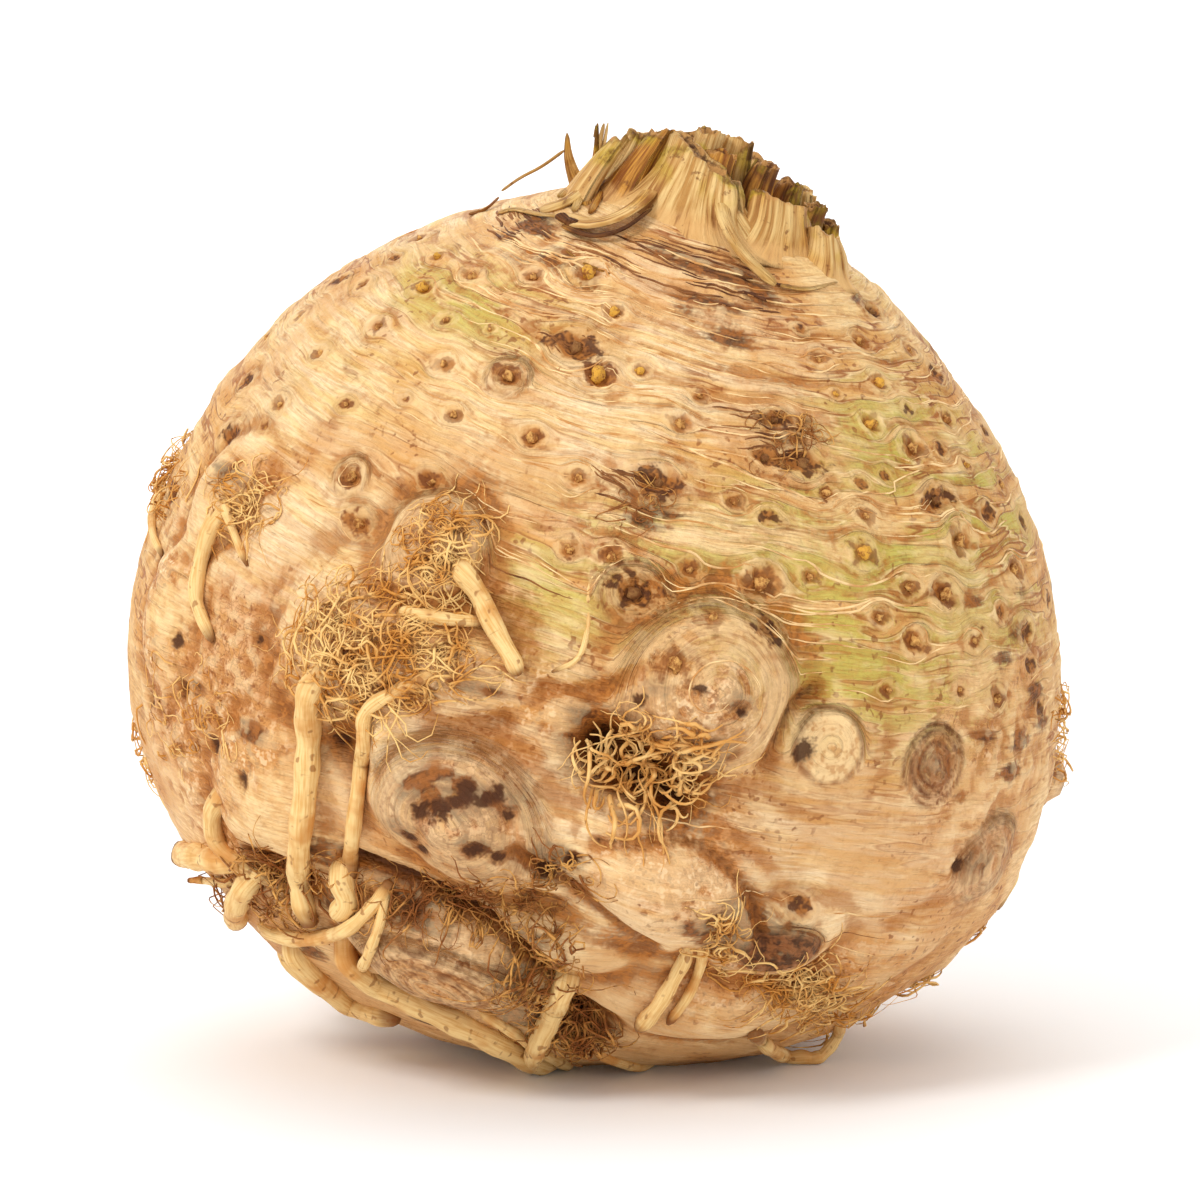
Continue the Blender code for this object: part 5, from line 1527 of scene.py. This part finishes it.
def add_stalk(shape, row, seed):
    right, back, height, lean_right, lean_back, half_width, half_thick, kept, tone, slant = row
    grain = shape.verts.layers.float_vector["grain"]
    tones = shape.verts.layers.float["tone"]
    rises = shape.verts.layers.float["rise"]
    out, sideways, inward = stalk_frame(right, back)
    foot = on_skin(out, -STALK_SUNK)[0]
    lean = height * CROWN_AXIS + lean_right * CROWN_RIGHT + lean_back * CROWN_AWAY
    top = on_skin(out)[0] + lean * MM
    ribs = max(FEWEST_RIBS, round(math.pi * (half_width + half_thick) / RIB_WIDTH_MM))
    sides = STALK_SIDES if half_width > THIN_STALK_MM else THIN_STALK_SIDES
    angles = [2 * math.pi * k / sides for k in range(sides)]
    ring = bmesh.ops.create_circle(shape, segments=sides, radius=1.0)["verts"]
    loop = list({edge for vertex in ring for edge in vertex.link_edges})
    bmesh.ops.contextual_create(shape, geom=loop)
    # Share of the height, share of the width, and how far the ring is sunk into the cut
    levels = []
    for i in range(STALK_LEVELS + 1):
        share = i / STALK_LEVELS
        flare = FOOT_FLARE * math.exp(-share * 4.5)
        levels.append((share, STALK_FLARE + (kept - STALK_FLARE) * share**0.7 + flare, 0.0))
    levels += [(1.0, kept * 0.86, 0.1), (1.0, kept * 0.7, 0.9), (1.0, kept * 0.4, 1.5)]
    for i, (share, width, sink) in enumerate(levels):
        if i:
            grown = bmesh.ops.extrude_edge_only(shape, edges=loop)["geom"]
            ring = ordered_ring(ring, [item for item in grown if isinstance(item, bmesh.types.BMVert)])
            loop = [item for item in grown if isinstance(item, bmesh.types.BMEdge) and item.is_boundary]
        bow = 0.5 * MM * math.sin(math.pi * share)
        middle = foot + (top - foot) * share - inward * bow
        for vertex, angle in zip(ring, angles):
            spot = Vector((math.cos(angle) * 1.4, math.sin(angle) * 1.4, share * 1.2 + seed * 3.7))
            ripple = math.cos(ribs * angle + 2.4 * noise.noise(spot))
            rib = 1 + 0.04 * ripple + 0.2 * noise.noise(spot * 1.5)
            torn = noise.fractal(Vector((angle * 1.7, seed * 1.3, 0.5)), 1.0, 2.0, 3) * share**6
            reach_right = math.cos(angle) * half_width * width * rib * MM
            reach_in = math.sin(angle) * half_thick * width * rib * MM
            tilt = slant * math.cos(angle) * share**3
            rise = (0.8 * torn + tilt - sink) * MM
            vertex.co = middle + sideways * reach_right + inward * reach_in + CROWN_AXIS * rise
            vertex[grain] = (angle * (half_width + half_thick) / 2, share * height, seed)
            vertex[tones] = tone
            vertex[rises] = share + sink * 0.2
    bmesh.ops.contextual_create(shape, geom=loop)


stalk_shape = tube_shape()
stalk_shape.verts.layers.float.new("rise")
for number, row in enumerate(STALKS):
    add_stalk(stalk_shape, row, number)
stalks = new_piece("stalk_bases", stalk_shape)
print("stalk bases:", triangle_count(stalks.data), "triangles")

# %% [markdown]
# ## What the stalk bases are made of
#
# Fibres run up each stalk. The foot takes the skin's cream, the sides go from pale through orange to
# dark by the stalk's tone, and the cut top is browned.


# %% Stalk material
def stalk_material():
    s = Shader("stalk_base", 0.6)
    place = s.place()
    grain = s.attribute("grain", "Vector")
    tone = s.attribute("tone")
    rise = s.attribute("rise")
    fibres = s.noise(s.stretch(grain, (1.6, 0.12, 1.0)), 1.0, 3, 0.65)
    grit = s.noise(place, 600, 3, 0.65)
    blotch = s.noise(place, 170, 2, 0.55)
    mixed = s.ragged(tone, blotch, 1.4)
    thin = s.between(fibres, 0.36, 0.62)
    colour = s.mix(thin, srgb(228, 196, 138), srgb(190, 144, 82))
    orange = s.mix(thin, srgb(212, 158, 74), srgb(144, 88, 36))
    colour = s.mix(s.between(mixed, 0.25, 0.8), colour, orange)
    dark = s.mix(thin, srgb(140, 90, 44), srgb(80, 46, 20))
    colour = s.mix(s.between(mixed, 0.95, 1.35), colour, dark)
    yellow = s.times(s.between(rise, 0.45, 0.9), s.between(blotch, 0.46, 0.60))
    colour = s.mix(s.times(yellow, 0.7), colour, srgb(196, 172, 52))
    foot = s.ragged(rise, grit, 0.3)
    foot_colour = s.mix(blotch, CREAM, srgb(204, 150, 86))
    colour = s.mix(s.between(foot, 0.42, 0.2, 0.0, 0.75), colour, foot_colour)
    streak = s.times(s.between(fibres, 0.56, 0.66), s.between(blotch, 0.40, 0.54))
    colour = s.mix(s.times(streak, 0.55), colour, srgb(140, 86, 38))
    stain = s.plus(s.times(rise, 0.5), s.plus(blotch, s.times(grit, 0.6)))
    colour = s.mix(s.between(stain, 1.24, 1.42, 0.0, 0.8), colour, srgb(110, 62, 26))
    colour = s.mix(s.between(grit, 0.62, 0.72, 0.0, 0.7), colour, srgb(130, 80, 38))
    cut = s.between(s.ragged(rise, grit, 0.5), 0.96, 1.06)
    cut_colour = s.mix(s.between(grit, 0.40, 0.58), DARK_BROWN, srgb(206, 158, 98))
    colour = s.mix(s.times(cut, 0.85), colour, cut_colour)
    height = s.plus(fibres, s.times(grit, 0.5))
    return s.finish(colour, height, 0.5)


stalks.data.materials.append(stalk_material())
print("stalk nodes:", len(stalks.data.materials[0].node_tree.nodes))

# %% [markdown]
# ## Loose straps on the crown
#
# Torn leaf sheaths and straws lie about the stalks. They are the same extruded tube, flattened against
# the skin and lifted off it from one end to the other.

# %% Straps
# Pixels, width at the start and at the end mm, flatness, lift at the start and at the end mm, tone
STRAPS = [
    ([(563, 222), (590, 232), (618, 228), (642, 214), (656, 196)], 3.6, 2.6, 0.30, 0.8, 2.6, 0.45),
    ([(563, 232), (592, 243), (622, 238), (650, 220)], 1.1, 0.7, 0.6, 0.9, 1.6, 1.4),
    ([(560, 224), (568, 230), (578, 234)], 1.8, 1.2, 0.5, 1.3, 1.4, 1.6),
    ([(714, 216), (720, 238), (740, 264), (774, 288)], 2.3, 1.7, 0.40, 3.6, 0.5, 0.3),
    ([(503, 198), (522, 190), (544, 183), (566, 172)], 0.7, 0.8, 0.6, 1.0, 3.0, 0.35),
    ([(588, 206), (578, 184), (569, 158), (567, 133)], 3.2, 0.5, 0.6, -0.5, 0.0, 0.6),
    ([(560, 200), (580, 184), (600, 160), (608, 127)], 1.6, 0.4, 0.5, 0.5, 0.6, 0.25),
    ([(540, 212), (566, 206), (590, 190), (612, 168)], 2.8, 2.0, 0.40, 0.2, 1.4, 0.2),
    ([(590, 216), (604, 190), (618, 158), (626, 138)], 1.1, 0.7, 0.7, 0.5, 0.5, 0.9),
    ([(574, 214), (588, 184), (598, 152), (604, 127)], 1.3, 0.5, 0.5, 0.5, 0.5, 0.3),
    ([(500, 214), (516, 212), (538, 218), (560, 222)], 1.2, 0.7, 0.5, 0.2, 0.8, 0.3),
    ([(470, 214), (486, 212), (500, 203)], 0.9, 0.6, 0.6, 0.0, 0.8, 0.9),
    ([(655, 250), (690, 262), (720, 274), (752, 280)], 0.7, 0.5, 0.5, 0.1, 0.2, 1.3),
    ([(560, 246), (580, 262), (612, 276)], 0.6, 0.4, 0.6, 0.1, 0.2, 0.9),
    ([(780, 286), (806, 290), (836, 284)], 0.8, 0.5, 0.6, 0.1, 0.3, 0.3),
]
STRAP_POINTS = 30
STRAP_SIDES = 14
STRAP_FIRST_SEED = 70
# Where on the stalk material's way up a strap lies, from the foot to the cut
STRAP_RISE = 0.55

strap_shape = tube_shape()
strap_rises = strap_shape.verts.layers.float.new("rise")
for number, (pixels, start, end, flat, first_lift, last_lift, tone) in enumerate(STRAPS):
    line = seen_points(smooth_path(pixels, STRAP_POINTS), body_radius)
    lifts = np.linspace(first_lift, last_lift, STRAP_POINTS)[:, None] * MM
    radii = np.linspace(start, end, STRAP_POINTS) / 2 * MM
    radii[:2] *= (0.55, 0.85)
    radii[-2:] *= (0.8, 0.4)
    path = line + unit(line - CENTRE) * lifts
    add_tube(strap_shape, path, radii, STRAP_SIDES, STRAP_FIRST_SEED + number, 0.05, tone, flat)
strap_grain = strap_shape.verts.layers.float_vector["grain"]
for vertex in strap_shape.verts:
    along, around, _ = vertex[strap_grain]
    vertex[strap_grain] = (around, along, 0.0)
    vertex[strap_rises] = STRAP_RISE
straps = new_piece("crown_straps", strap_shape)
straps.data.materials.append(stalks.data.materials[0])
print("straps:", triangle_count(straps.data), "triangles")

# %% [markdown]
# ## Raised strands
#
# Thin dried strands run along the grain on the upper half and catch the light. Each one is walked over
# the skin at right angles to the slope of the flow coordinate, so it bends round the eyes as the
# wrinkles do.

# %% Strands
# Middle across and down, half width and half height in pixels, how many, length mm, thickest radius
# mm, tone
STRAND_AREAS = [
    (900, 470, 150, 140, 30, 26.0, 0.21, 0.0),
    (860, 620, 150, 90, 16, 20.0, 0.19, 0.0),
    (640, 430, 140, 110, 18, 16.0, 0.15, 0.0),
    (700, 340, 150, 60, 24, 20.0, 0.20, 0.1),
    (600, 290, 110, 40, 18, 15.0, 0.20, 0.2),
    (600, 540, 90, 60, 10, 14.0, 0.16, 0.1),
    (420, 470, 150, 120, 8, 9.0, 0.12, 0.1),
    (700, 266, 76, 14, 14, 10.0, 0.24, 1.0),
    (745, 298, 50, 20, 14, 8.0, 0.26, 1.0),
    (525, 228, 26, 14, 34, 4.0, 0.26, 1.0),
    (790, 435, 36, 22, 10, 6.0, 0.20, 0.9),
    (655, 500, 30, 22, 10, 6.0, 0.20, 0.9),
    (576, 346, 22, 12, 8, 4.0, 0.20, 0.8),
    (850, 900, 120, 90, 8, 12.0, 0.14, 0.2),
]
BACK_STRANDS = 110
STRAND_STEPS = 26
STRAND_SEED = 31
BACK_STRAND_AZIMUTHS = (-95, 95)
BACK_STRAND_LATITUDES = (-15, 75)
BACK_STRAND_LENGTHS_MM = (8, 28)
BACK_STRAND_RADII_MM = (0.1, 0.24)
# How much a strand strays from the grain at its start, and how much that changes at each step
STRAND_STRAY = 0.12
STRAND_CHANGE = 0.07
SLOPE_STEP = 0.004


def thin_tubes(name, walks, radii, tapers):
    """Thin tubes along the walks, as one curve object that is then made a mesh."""
    curve = bpy.data.curves.new(name, "CURVE")
    curve.dimensions = "3D"
    curve.bevel_depth = 1.0
    curve.bevel_resolution = 0
    for walk, thick in zip(walks, radii):
        spline = curve.splines.new("POLY")
        spline.points.add(len(walk) - 1)
        spline.points.foreach_set("co", np.column_stack([walk, np.ones(len(walk))]).ravel())
        spline.points.foreach_set("radius", thick * tapers)
    guide = bpy.data.objects.new(name + "_guide", curve)
    bpy.context.scene.collection.objects.link(guide)
    bpy.context.view_layer.update()
    mesh = bpy.data.meshes.new_from_object(guide.evaluated_get(bpy.context.evaluated_depsgraph_get()))
    bpy.data.objects.remove(guide)
    mesh.name = name
    return link_piece(name, mesh)


def along_grain(directions):
    """The unit direction on the skin that keeps the flow coordinate level."""
    level = unit(np.cross([0.0, 0.0, 1.0], directions))
    upward = np.cross(directions, level)
    here = flow_coordinates(directions)[:, 2]
    slope_level = flow_coordinates(unit(directions + level * SLOPE_STEP))[:, 2] - here
    slope_upward = flow_coordinates(unit(directions + upward * SLOPE_STEP))[:, 2] - here
    return unit(level * slope_upward[:, None] - upward * slope_level[:, None])


def walk_strands(starts, lengths, generator):
    current = unit(starts)
    heading = along_grain(current)
    bend = generator.normal(0, STRAND_STRAY, len(starts))
    rows = [current]
    for _ in range(STRAND_STEPS - 1):
        grain = along_grain(current)
        grain *= np.sign((grain * heading).sum(axis=1))[:, None]
        bend = 0.8 * bend + generator.normal(0, STRAND_CHANGE, len(starts))
        heading = unit(grain + np.cross(current, grain) * bend[:, None])
        current = unit(current + heading * (lengths / (STRAND_STEPS - 1) / DEPTH_RADIUS)[:, None])
        rows.append(current)
    return np.stack(rows, axis=1)


def full_skin(directions, lift):
    """Points on the skin with its fine relief, raised by a lift."""
    masks = {kind: patch_mask(kind, directions) for kind in PATCHES}
    fine = relief(directions, flow_coordinates(directions), masks)
    return CENTRE + directions * (body_radius(directions) + fine + lift)[:, None]


def strand_starts():
    generator = np.random.default_rng(STRAND_SEED)
    starts, lengths, radii, tones = [], [], [], []
    for across, down, half_width, half_height, count, length, thickest, tone in STRAND_AREAS:
        pixels = generator.uniform(-1, 1, (count, 2)) * (half_width, half_height) + (across, down)
        starts.append(directions_on_body(pixels))
        lengths.append(length * MM * generator.uniform(0.4, 1.3, count))
        radii.append(thickest * MM * generator.uniform(0.45, 1.0, count))
        tones.append(np.clip(tone + generator.normal(0, 0.15, count), 0, 1.2))
    azimuths = np.radians(generator.uniform(*BACK_STRAND_AZIMUTHS, BACK_STRANDS))
    latitudes = np.radians(generator.uniform(*BACK_STRAND_LATITUDES, BACK_STRANDS))
    starts.append(np.array([direction_at(a, b) for a, b in zip(azimuths, latitudes)]))
    lengths.append(generator.uniform(*BACK_STRAND_LENGTHS_MM, BACK_STRANDS) * MM)
    radii.append(generator.uniform(*BACK_STRAND_RADII_MM, BACK_STRANDS) * MM)
    tones.append(generator.uniform(0, 0.5, BACK_STRANDS) ** 2)
    walks = walk_strands(np.vstack(starts), np.concatenate(lengths), generator)
    return walks, np.concatenate(radii), np.concatenate(tones)


strand_walks, strand_radii, strand_tones = strand_starts()
strand_points = full_skin(strand_walks.reshape(-1, 3), -0.02 * MM).reshape(strand_walks.shape)
strand_taper = np.sin(np.linspace(0.12, math.pi - 0.12, STRAND_STEPS)) ** 0.5
dark = strand_tones > 0.5
pale_strands = thin_tubes("pale_strands", strand_points[~dark], strand_radii[~dark], strand_taper)
dark_strands = thin_tubes("dark_strands", strand_points[dark], strand_radii[dark], strand_taper)
print("strands:", triangle_count(pale_strands.data) + triangle_count(dark_strands.data), "triangles")

# %% [markdown]
# ## What the strands are made of
#
# Two plain mixtures: pale strands that catch the light, and dark ones that look like cracks between
# them.


# %% Strand material
def strand_material(name, light, shade):
    s = Shader(name, 0.6)
    tint = s.noise(s.place(), 260, 2, 0.6)
    return s.finish(s.mix(s.between(tint, 0.38, 0.64), light, shade), tint, 0.1)


pale_fibre = strand_material("pale_strand", srgb(246, 216, 164), srgb(206, 152, 92))
dark_fibre = strand_material("dark_strand", srgb(160, 108, 60), srgb(104, 62, 32))
pale_strands.data.materials.append(pale_fibre)
dark_strands.data.materials.append(dark_fibre)
print("strand materials:", pale_fibre.name, "and", dark_fibre.name)

# %% [markdown]
# ## Mats of fine rootlets
#
# Where a thick root broke away, a tangle of thin dry rootlets stays. Each one is a short random walk
# over the skin that rises off it and curls. Thousands of them are one curve object for each mat, with
# a thin bevel and four sides, made a mesh at the end so that nothing stays live.

# %% Rootlets
# Name, middle across and down, half width and half height in pixels, how many, length mm, lift mm, curl,
# thickest radius mm
MATS = [
    ("rootlets_left_lobe", 378, 650, 94, 70, 330, 9.0, 2.2, 0.55, 0.27),
    ("rootlets_hollow", 644, 762, 74, 48, 140, 7.0, 3.2, 0.44, 0.42),
    ("rootlets_small_lobe", 440, 545, 40, 40, 110, 6.5, 1.3, 0.7, 0.24),
    ("rootlets_groove", 455, 902, 104, 22, 150, 7.0, 1.8, 0.55, 0.22),
    ("rootlets_groove_end", 545, 965, 38, 42, 90, 9.0, 2.8, 0.55, 0.26),
    ("rootlets_bottom", 575, 1025, 40, 30, 130, 8.0, 2.4, 0.7, 0.24),
    ("rootlets_upper_left", 248, 505, 34, 36, 60, 7.0, 1.6, 0.6, 0.22),
    ("rootlets_left_edge", 166, 478, 22, 46, 60, 7.0, 2.0, 0.7, 0.22),
    ("rootlets_left_low", 182, 715, 54, 54, 50, 6.0, 1.2, 0.7, 0.20),
    ("rootlets_low_left", 270, 880, 60, 34, 110, 9.0, 2.6, 0.6, 0.24),
    ("rootlets_low_right", 790, 985, 52, 22, 90, 8.0, 2.0, 0.6, 0.24),
    ("rootlets_lens_left", 722, 938, 16, 34, 50, 6.0, 1.8, 0.6, 0.24),
    ("rootlets_lower_right", 820, 1005, 44, 22, 70, 8.0, 1.8, 0.7, 0.22),
    ("rootlets_right_scab", 790, 440, 30, 30, 34, 6.0, 0.7, 0.6, 0.16),
    ("rootlets_right_edge", 1062, 730, 12, 50, 40, 5.0, 1.6, 0.8, 0.20),
    ("rootlets_torn", 648, 505, 26, 22, 18, 5.0, 0.6, 0.6, 0.16),
    ("rootlets_middle_low", 560, 868, 28, 20, 36, 6.0, 1.2, 0.7, 0.20),
]
ROOTLET_POINTS = 9
THINNEST_ROOTLET_MM = 0.08
ROOTLET_SEED = 97
# Mats on the lobes behind: length mm, lift mm, curl, thickest radius mm, and their spread as a share
# of the lobe's length
BACK_MAT = (8.0, 1.8, 0.6, 0.24)
BACK_MAT_COUNT = 90
BACK_MAT_SPREAD = 0.45
BACK_MAT_SEED = ROOTLET_SEED + 50


def walk_rootlets(starts, lengths, lifts, curl, generator):
    """Random walks over the skin: the points of a rootlet for each start, rising and coming down."""
    count = len(starts)
    heading = generator.uniform(0, 2 * math.pi, count)
    turning = generator.normal(0, curl, count)
    current = unit(starts)
    rows = []
    peak = lifts * generator.uniform(0.1, 1.0, count)
    phase = generator.uniform(0.1, 0.6, count)
    for i in range(ROOTLET_POINTS):
        share = i / (ROOTLET_POINTS - 1)
        stage = np.clip(share * (1 - phase) + phase * (share > 0), 0, 1)
        rise = peak * np.sin(math.pi * stage) - 0.3 * MM * (share == 0)
        rows.append(on_skin(current, rise))
        level = unit(np.cross([0.0, 0.0, 1.0], current))
        upward = np.cross(current, level)
        turning = turning * 0.8 + generator.normal(0, curl * 0.6, count)
        heading = heading + turning
        step = level * np.cos(heading)[:, None] + upward * np.sin(heading)[:, None]
        current = unit(current + step * (lengths / (ROOTLET_POINTS - 1) / DEPTH_RADIUS)[:, None])
    return np.stack(rows, axis=1)


def mat_starts(across, down, half_width, half_height, count, generator):
    """Scattered start directions in an oval of the picture, denser at its middle."""
    radius = np.sqrt(generator.uniform(0, 1, count)) ** 1.2
    angle = generator.uniform(0, 2 * math.pi, count)
    columns = across + half_width * radius * np.cos(angle)
    rows = down + half_height * radius * np.sin(angle)
    return directions_on_body(np.column_stack([columns, rows]))


def make_mat(name, starts, length, lift, curl, thickest, generator):
    count = len(starts)
    lengths = length * MM * generator.uniform(0.4, 1.3, count)
    walks = walk_rootlets(starts, lengths, np.full(count, lift * MM), curl, generator)
    walks[..., 2] = np.maximum(walks[..., 2], TABLE_CLEAR)
    spread = generator.uniform(0, 1, count) ** 1.4
    radii = (THINNEST_ROOTLET_MM + (thickest - THINNEST_ROOTLET_MM) * spread) * MM
    return thin_tubes(name, walks, radii, np.linspace(1.0, 0.4, ROOTLET_POINTS))


mats = []
for number, (name, *oval, length, lift, curl, thickest) in enumerate(MATS):
    generator = np.random.default_rng(ROOTLET_SEED + number)
    mats.append(make_mat(name, mat_starts(*oval, generator), length, lift, curl, thickest, generator))
for number, (middle, _, _, length, _, _, _) in enumerate(list(back_swellings())[::2]):
    generator = np.random.default_rng(BACK_MAT_SEED + number)
    spread = BACK_MAT_SPREAD * length / DEPTH_RADIUS
    starts = unit(middle + generator.normal(0, spread, (BACK_MAT_COUNT, 3)))
    mats.append(make_mat(f"rootlets_back_{number}", starts, *BACK_MAT, generator))
print("mats:", sum(triangle_count(piece.data) for piece in mats), "triangles")

# %% [markdown]
# ## What the rootlets are made of
#
# Rootlets are too thin for detail, so a tint that changes every few millimetres is enough, with some
# brown parts. Most mats are golden. Those in the groove, at the bottom and on torn skin are browner,
# and the one in the hollow is paler.


# %% Rootlet material
def rootlet_material(name, light, shade, dark_from):
    s = Shader(name, 0.55)
    place = s.place()
    tint = s.noise(place, 220, 2, 0.5)
    hue = s.noise(place, 700, 2, 0.5)
    colour = s.mix(s.between(tint, 0.36, 0.64), light, shade)
    colour = s.mix(s.between(hue, dark_from, dark_from + 0.16, 0.0, 0.8), colour, srgb(136, 82, 36))
    return s.finish(colour, hue, 0.05)


golden = rootlet_material("rootlet_golden", srgb(244, 208, 142), srgb(212, 152, 74), 0.55)
browner = rootlet_material("rootlet_brown", srgb(222, 172, 100), srgb(160, 102, 48), 0.46)
paler = rootlet_material("rootlet_pale", srgb(244, 208, 144), srgb(218, 164, 92), 0.58)
MAT_FINISHES = {"rootlets_hollow": paler}
for browned in ("groove", "groove_end", "bottom", "low_left", "torn", "right_scab", "middle_low"):
    MAT_FINISHES[f"rootlets_{browned}"] = browner
for piece in mats:
    piece.data.materials.append(MAT_FINISHES.get(piece.name, golden))
print(len(mats), "mats, of which", len(MAT_FINISHES), "are browner or paler")

# %% [markdown]
# ## Floor, backdrop and light
#
# The picture is a plain studio shot on white. A wide floor sweeps up into a backdrop with no visible
# corner. Big soft lamps from above and both sides leave gentle shadows under the lobes.

# %% Floor and backdrop
FLOOR_HALF = 4.0
SWEEP_RADIUS = 0.5
BACK_AT = 0.9


def sweep():
    """A strip that runs from in front of the camera, along the floor, and up behind the root."""
    shape = bmesh.new()
    first = [shape.verts.new((side * FLOOR_HALF, -FLOOR_HALF, 0.0)) for side in (-1, 1)]
    edge = shape.edges.new(first)
    stops = [(BACK_AT, 0.0)]
    for i in range(1, 17):
        angle = math.pi / 2 * i / 16
        stops.append((BACK_AT + SWEEP_RADIUS * math.sin(angle), SWEEP_RADIUS * (1 - math.cos(angle))))
    stops.append((BACK_AT + SWEEP_RADIUS, 2.2))
    for across, height in stops:
        grown = bmesh.ops.extrude_edge_only(shape, edges=[edge])["geom"]
        edge = next(item for item in grown if isinstance(item, bmesh.types.BMEdge) and item.is_boundary
                    and all(v in grown for v in item.verts))
        for vertex in edge.verts:
            vertex.co.y = across
            vertex.co.z = height
    bmesh.ops.recalc_face_normals(shape, faces=shape.faces[:])
    return shape


floor = new_piece("floor", sweep())
paper = Shader("white_paper", 0.9)
fleck = paper.noise(paper.place(), 30, 2, 0.5)
paper_white = paper.mix(fleck, srgb(254, 254, 254), srgb(252, 252, 252))
floor.data.materials.append(paper.finish(paper_white, fleck, 0.01))
print("floor ready")

# %% [markdown]
# ## Lamps
#
# A hard lamp would give black shadows that the picture doesn't have. Four soft discs and a bright
# world do it, and one more lamp makes the backdrop white.

# %% Lights and world
# Name, place, width, watts
LAMPS = [
    ("key", (-0.60, -0.65, 0.80), 0.34, 5.2),
    ("fill", (0.75, -0.65, 0.40), 0.8, 0.9),
    ("top", (0.05, 0.15, 1.0), 0.9, 1.2),
    ("low_front", (0.0, -0.95, 0.12), 0.6, 0.3),
]
GLOW_SPOT = (0.0, 0.5, 1.5)
GLOW_HEADING = (0.0, 1.0, -0.2)
GLOW_WIDTH = 0.8
GLOW_WATTS = 14.0
WORLD_STRENGTH = 0.88


def add_lamp(name, shape, spot, heading, width, watts):
    """A soft area lamp at a spot, which shines along a heading."""
    lamp = bpy.data.lights.new(name, "AREA")
    lamp.shape = shape
    lamp.size = width
    lamp.energy = watts
    holder = bpy.data.objects.new(name, lamp)
    holder.location = spot
    holder.rotation_euler = Vector(heading).to_track_quat("-Z", "Y").to_euler()
    bpy.context.scene.collection.objects.link(holder)


for name, spot, width, watts in LAMPS:
    add_lamp(name, "DISK", spot, Vector(CENTRE) - Vector(spot), width, watts)
add_lamp("backdrop_glow", "SQUARE", GLOW_SPOT, GLOW_HEADING, GLOW_WIDTH, GLOW_WATTS)
world = bpy.data.worlds.new("studio")
world.use_nodes = True
world.node_tree.nodes["Background"].inputs["Color"].default_value = (1.0, 1.0, 1.0, 1.0)
world.node_tree.nodes["Background"].inputs["Strength"].default_value = WORLD_STRENGTH
bpy.context.scene.world = world
bpy.context.scene.view_settings.view_transform = "Standard"
print(len(LAMPS), "lamps on the root and one on the backdrop")

# %% [markdown]
# ## Join the dressing to the frame
#
# Every piece rides on the one body. Together they stand for the plain solid, which is hidden but stays
# in the physics model.

# %% Ride, replace and finish
dressing = [skin, front_roots, back_roots, eye_stubs, stalks, straps, pale_strands, dark_strands]
for piece in dressing + mats:
    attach(piece, "root")
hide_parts("celeriac")
